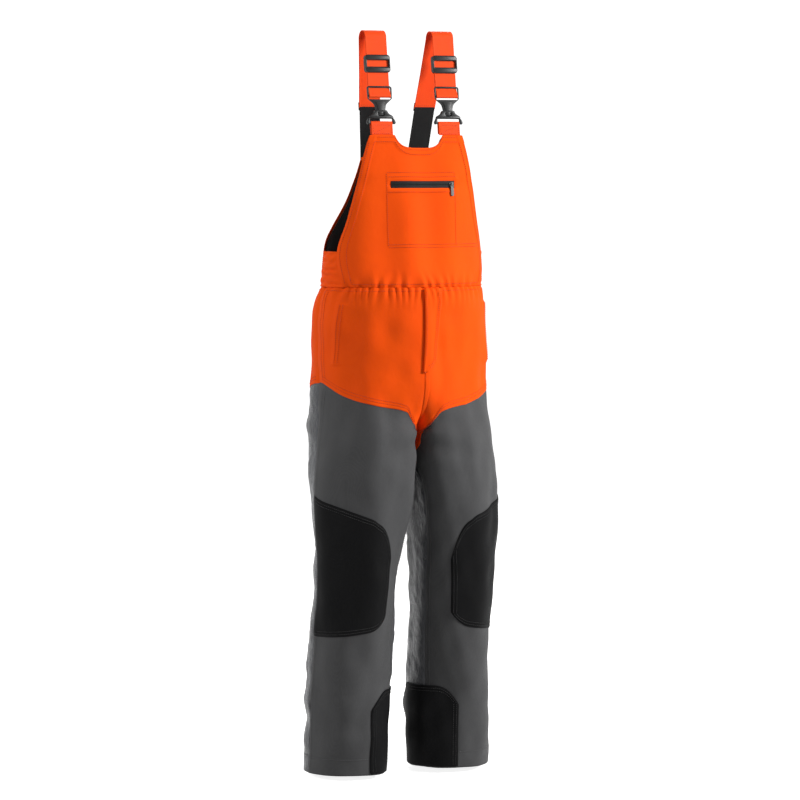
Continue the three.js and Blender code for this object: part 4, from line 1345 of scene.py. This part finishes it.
def make_braces():
    """The orange webbing, its turned-back ends, the bib tabs and the black elastics."""
    for name, side in SIDES:
        brace = f"{name}_brace"
        top = (SHOULDER - BUCKLE) / math.cos(BRACE_TILT) - 2
        straight = np.array([(0, 2.7, top), (0, 2.7, 54), (0, 2.7, 46.2)])
        down = brace_to_worn(side, np.concatenate([straight, arc(0, CROSSBAR, 3, 180, 360, 10)]))
        over = arc(down[0][1] + SHOULDER_RADIUS, SHOULDER, SHOULDER_RADIUS, 0, 180, 20)
        behind = np.concatenate([[(0, 2, ELASTIC_TOP + 0.5), (0, -14, 1500)], over])
        behind[:, 0] = side * np.minimum(BRACE_X, back_x(behind[:, 2]))
        strap, width, length = band(
            f"{name}_strap", np.concatenate([behind, down]), WEBBING_WIDTH, WEBBING, "webbing_orange"
        )
        ride_on(strap, brace, "webbing_orange", f"{name}_strap")

        turned = [(0, 3.3, CROSSBAR + 1.2), (0, 5.2, 43), (0, 5.2, ADJUSTER + 8)]
        turnback, width, length = band(
            f"{name}_strap_turnback", brace_to_worn(side, turned), WEBBING_WIDTH - 1, WEBBING,
            "webbing_orange",
        )
        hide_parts(f"{name}_strap_turnback")
        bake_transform(turnback)

        loop = np.concatenate([[(0, -2.9, -54)], arc(0, -28, 2.9, 180, 0, 10), [(0, 2.9, -51)]])
        tab, width, length = band(
            f"{name}_bib_tab", brace_to_worn(side, loop), WEBBING_WIDTH, WEBBING, "webbing_orange", 2.0
        )
        ride_on(tab, GARMENT, "webbing_orange", f"{name}_bib_tab")
        box_stitching(
            f"{name}_tab_stitching", side, -51, -33, 3.8, GARMENT, "webbing_orange", "stitch_orange"
        )

        rows = []
        for z in (1308, 1322, 1348, 1372, 1400, ELASTIC_TOP + 4):
            y = 18 - 16 * (z - BACK_TOP) / (ELASTIC_TOP - BACK_TOP)
            rows.append((side * back_x(z), y + 1.4 * smooth((1330 - z) / 14), z))
        elastic, width, length = band(
            f"{name}_elastic", rows, WEBBING_WIDTH - 2, 2.0, "elastic_black", 2.0, 0.5
        )
        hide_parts(f"{name}_elastic")
        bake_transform(elastic)

        # A cuff covers the join of the elastic and the webbing and is sewn through.
        cuff = (ELASTIC_TOP - 4, ELASTIC_TOP + 5, ELASTIC_TOP + 13)
        fold = [(side * back_x(z), 4.0 - 0.1 * (z - ELASTIC_TOP), z) for z in cuff]
        cover, width, length = band(
            f"{name}_elastic_cuff", fold, WEBBING_WIDTH + 0.5, 1.2, "elastic_black", 2.0
        )
        ride_on(cover, brace, "elastic_black")
        x = side * back_x(cuff[1]) + run(-22, 22, 20)
        path = np.stack([x, 0 * x + 4.0, 0 * x + ELASTIC_TOP + 2], -1)
        ahead = np.tile([0.0, 1.0, 0.0], (20, 1))
        front_path = np.stack([x, 0 * x - 0.2, 0 * x + ELASTIC_TOP + 7], -1)
        ride_on(stitch_row(f"{name}_cuff_stitching", [(path, ahead), (front_path, -ahead)], "stitch_orange"),
                brace, "webbing_orange")
        x = side * back_x(BARTACK_HEIGHTS[1]) + run(-21, 21, 20)
        bar_rows = []
        for z in BARTACK_HEIGHTS:
            point = np.stack([x, 0 * x + 22.4 - 0.152 * (z - BARTACK_HEIGHTS[0]), 0 * x + z], -1)
            bar_rows.append((point, ahead))
        ride_on(stitch_row(f"{name}_elastic_bartack", bar_rows, "stitch_orange"), GARMENT, "shell_orange")


# ---------------------------------------------------------------- zips


def zip_teeth(name, path, normals, across, gap=1.6):
    """Two meshed rows of moulded teeth along a path."""
    lengths = lengths_along(path)
    places = np.arange(1, lengths[-1], gap)
    points, faces = [], []
    for i, distance in enumerate(places):
        centre, up, side = (
            np.array([np.interp(distance, lengths, table[:, k]) for k in range(3)])
            for table in (path, normals, across)
        )
        way = np.cross(side, up)
        sign = 1 if i % 2 else -1
        base = len(points)
        for a in (-0.5, 0.5):
            for b, c in ((sign * -0.7, 0.0), (sign * 1.9, 0.0), (sign * 1.7, 0.9), (sign * -0.5, 1.0)):
                points.append(centre + way * a + side * b + up * c)
        for k in range(4):
            n = (k + 1) % 4
            faces.append((base + k, base + n, base + 4 + n, base + 4 + k))
        faces += [(base, base + 3, base + 2, base + 1), (base + 4, base + 5, base + 6, base + 7)]
    mesh = bpy.data.meshes.new(name)
    mesh.from_pydata(place(np.array(points)).tolist(), [], faces)
    return finish_mesh(name, mesh, "zip_black", smooth_faces=False)


def make_zips():
    """The chest zip's tape and teeth, the fly zip's teeth and their plated sliders."""
    torso_sheet("chest_zip_tape", lambda z: CHEST_ZIP_HALF + 0 * z, CHEST_ZIP - 7, CHEST_ZIP + 7, 1.1, 0.8,
                "zip_black", middle=CHEST_ZIP_MIDDLE, step=2.5)
    x = CHEST_ZIP_MIDDLE + run(-CHEST_ZIP_HALF + 2, CHEST_ZIP_HALF - 2, 80)
    path, normals = torso_at(x, CHEST_ZIP, 1.0)
    up = np.tile([0.0, 0.12, 0.99], (len(x), 1))
    ride_on(zip_teeth("chest_zip_teeth", path, normals, up), GARMENT, "zip_black")
    z = run(880, 1028, 60)
    path, normals = fly_at(0 * z, z, -0.4)
    aside = np.tile([1.0, 0.0, 0.0], (len(z), 1))
    ride_on(zip_teeth("fly_zip_teeth", path, normals, aside), GARMENT, "zip_black")
    metal = material_for("zip_metal")
    for name in ("chest_zip_slider", "chest_zip_pull", "fly_zip_slider", "fly_zip_pull"):
        piece = bpy.data.objects[name]
        for holder in piece.material_slots:
            holder.material = metal


# ---------------------------------------------------------------- stage


def area_light(name, where, size, power):
    """A square lamp that faces the middle of the trousers."""
    light = bpy.data.lights.new(name, "AREA")
    light.size = size
    light.energy = power
    lamp = bpy.data.objects.new(name, light)
    lamp.location = where
    lamp.rotation_euler = (Vector((0, 0, -0.75)) - Vector(where)).to_track_quat("-Z", "Y").to_euler()
    bpy.context.scene.collection.objects.link(lamp)


def make_stage():
    """A pale floor that curves up all round, soft light and the camera."""
    low = CAD_BOX[0][2] - 0.012
    flat_reach, cove, wall = 9, 3, 14
    profile = [(1, 0), (3, 0), (6, 0), (flat_reach, 0)]
    for i in range(1, 9):
        angle = math.radians(90 * i / 8)
        profile.append((flat_reach + cove * math.sin(angle), cove * (1 - math.cos(angle))))
    profile.append((flat_reach + cove, wall))
    sides = 64
    points, faces = [(0, 0, low)], []
    for radius, height in profile:
        for i in range(sides):
            angle = 2 * math.pi * i / sides
            points.append((radius * math.cos(angle), radius * math.sin(angle), low + height))
    for i in range(sides):
        after = (i + 1) % sides
        faces.append((0, 1 + i, 1 + after))
        for ring in range(len(profile) - 1):
            first, second = 1 + ring * sides, 1 + (ring + 1) * sides
            faces.append((first + i, second + i, second + after, first + after))
    mesh = bpy.data.meshes.new("studio_floor")
    mesh.from_pydata(points, [], faces)
    material, tree, shader = new_material("studio_paper", {"Roughness": 0.9, "Specular IOR Level": 0.1})
    grain = noise(tree, place_vector(tree), 3.0, 4.0)
    feed(tree, shader, Base_Color=mix_colour(tree, grain, (0.86, 0.86, 0.86, 1), (0.89, 0.89, 0.885, 1)))
    shader.inputs["Emission Color"].default_value = (1, 1, 1, 1)
    shader.inputs["Emission Strength"].default_value = 0.85
    mesh.materials.append(material)
    floor = bpy.data.objects.new("studio_floor", mesh)
    bpy.context.scene.collection.objects.link(floor)
    floor.visible_diffuse = False

    world = bpy.data.worlds.new("studio_air")
    bpy.context.scene.world = world
    world.use_nodes = True
    world.node_tree.nodes["Background"].inputs["Color"].default_value = (1, 1, 1, 1)
    world.node_tree.nodes["Background"].inputs["Strength"].default_value = 0.3
    area_light("key", (3.1, -2.6, 0.9), 1.0, 245)
    area_light("side", (-3.6, 0.2, 0.6), 1.2, 60)
    area_light("back", (1.5, 3.6, 1.8), 2.5, 70)
    bpy.context.scene.view_settings.view_transform = "Standard"

    camera = bpy.data.cameras.new("camera")
    camera.lens = 159.9
    camera.sensor_width = 36
    camera.clip_end = 60
    eye = bpy.data.objects.new("camera", camera)
    azimuth, elevation, distance = math.radians(-25), math.radians(3.8), 7.64
    across = Vector((math.cos(azimuth), math.sin(azimuth), 0))
    target = Vector((0, 0, -0.7885)) - across * 0.014
    flat = distance * math.cos(elevation)
    away = Vector((math.sin(azimuth) * flat, -math.cos(azimuth) * flat, distance * math.sin(elevation)))
    eye.location = target + away
    eye.rotation_euler = (-away).to_track_quat("-Z", "Y").to_euler()
    bpy.context.scene.collection.objects.link(eye)
    bpy.context.scene.camera = eye


# ---------------------------------------------------------------- the add-on


class TrouserLooks(bpy.types.PropertyGroup):
    """Colours that a user may change."""

    shell_orange: bpy.props.FloatVectorProperty(
        name="Shell orange", description="Colour of the orange shell where light falls on it",
        default=(1.0, 0.1, 0.001), subtype="COLOR", size=3, min=0, max=1,
    )
    shell_grey: bpy.props.FloatProperty(
        name="Shell grey", description="Brightness of the grey leg fronts", default=0.045, min=0, max=1,
        subtype="FACTOR",
    )


def make_operator(word, label, about, work):
    """An operator that sews one group of pieces."""

    class Operator(bpy.types.Operator):
        bl_idname = f"trousers.{word}"
        bl_label = label
        __doc__ = about

        def execute(self, context):
            work()
            return {"FINISHED"}

    Operator.__name__ = f"TROUSERS_OT_{word}"
    return Operator


STEPS = (
    ("stage", "Stage", make_stage),
    ("leg_shells", "Leg shells", make_leg_shells),
    ("leg_patches", "Knee and ankle patches", make_leg_patches),
    ("leg_insides", "Pads, linings and hems", make_leg_insides),
    ("leg_stitching", "Leg stitching", make_leg_stitching),
    ("hips", "Hips, seat and pockets", make_hips),
    ("fly", "Fly", make_fly),
    ("bib", "Bib and chest pocket", make_bib),
    ("back", "Back and waist", make_back),
    ("buckles", "Buckles", make_buckles),
    ("adjusters", "Strap adjusters", make_adjusters),
    ("braces", "Braces and elastics", make_braces),
    ("zips", "Zips", make_zips),
)
OPERATORS = [make_operator(word, label, work.__doc__, work) for word, label, work in STEPS]


class TROUSERS_PT_sewing(bpy.types.Panel):
    """Lists the steps in sewing order."""

    bl_label = "Trousers"
    bl_space_type = "VIEW_3D"
    bl_region_type = "UI"
    bl_category = "Trousers"

    def draw(self, context):
        looks = context.scene.trouser_looks
        self.layout.prop(looks, "shell_orange")
        self.layout.prop(looks, "shell_grey")
        for operator in OPERATORS:
            self.layout.operator(operator.bl_idname)


CLASSES = [TrouserLooks, *OPERATORS, TROUSERS_PT_sewing]


def register():
    """Adds the steps, the panel and the values that a user may change."""
    for item in CLASSES:
        bpy.utils.register_class(item)
    bpy.types.Scene.trouser_looks = bpy.props.PointerProperty(type=TrouserLooks)


def unregister():
    """Takes them away again."""
    del bpy.types.Scene.trouser_looks
    for item in reversed(CLASSES):
        bpy.utils.unregister_class(item)


def main():
    """Sews the trousers and writes down how large they are."""
    register()
    for word, _, _ in STEPS:
        getattr(bpy.ops.trousers, word)()


if __name__ == "__main__":
    main()
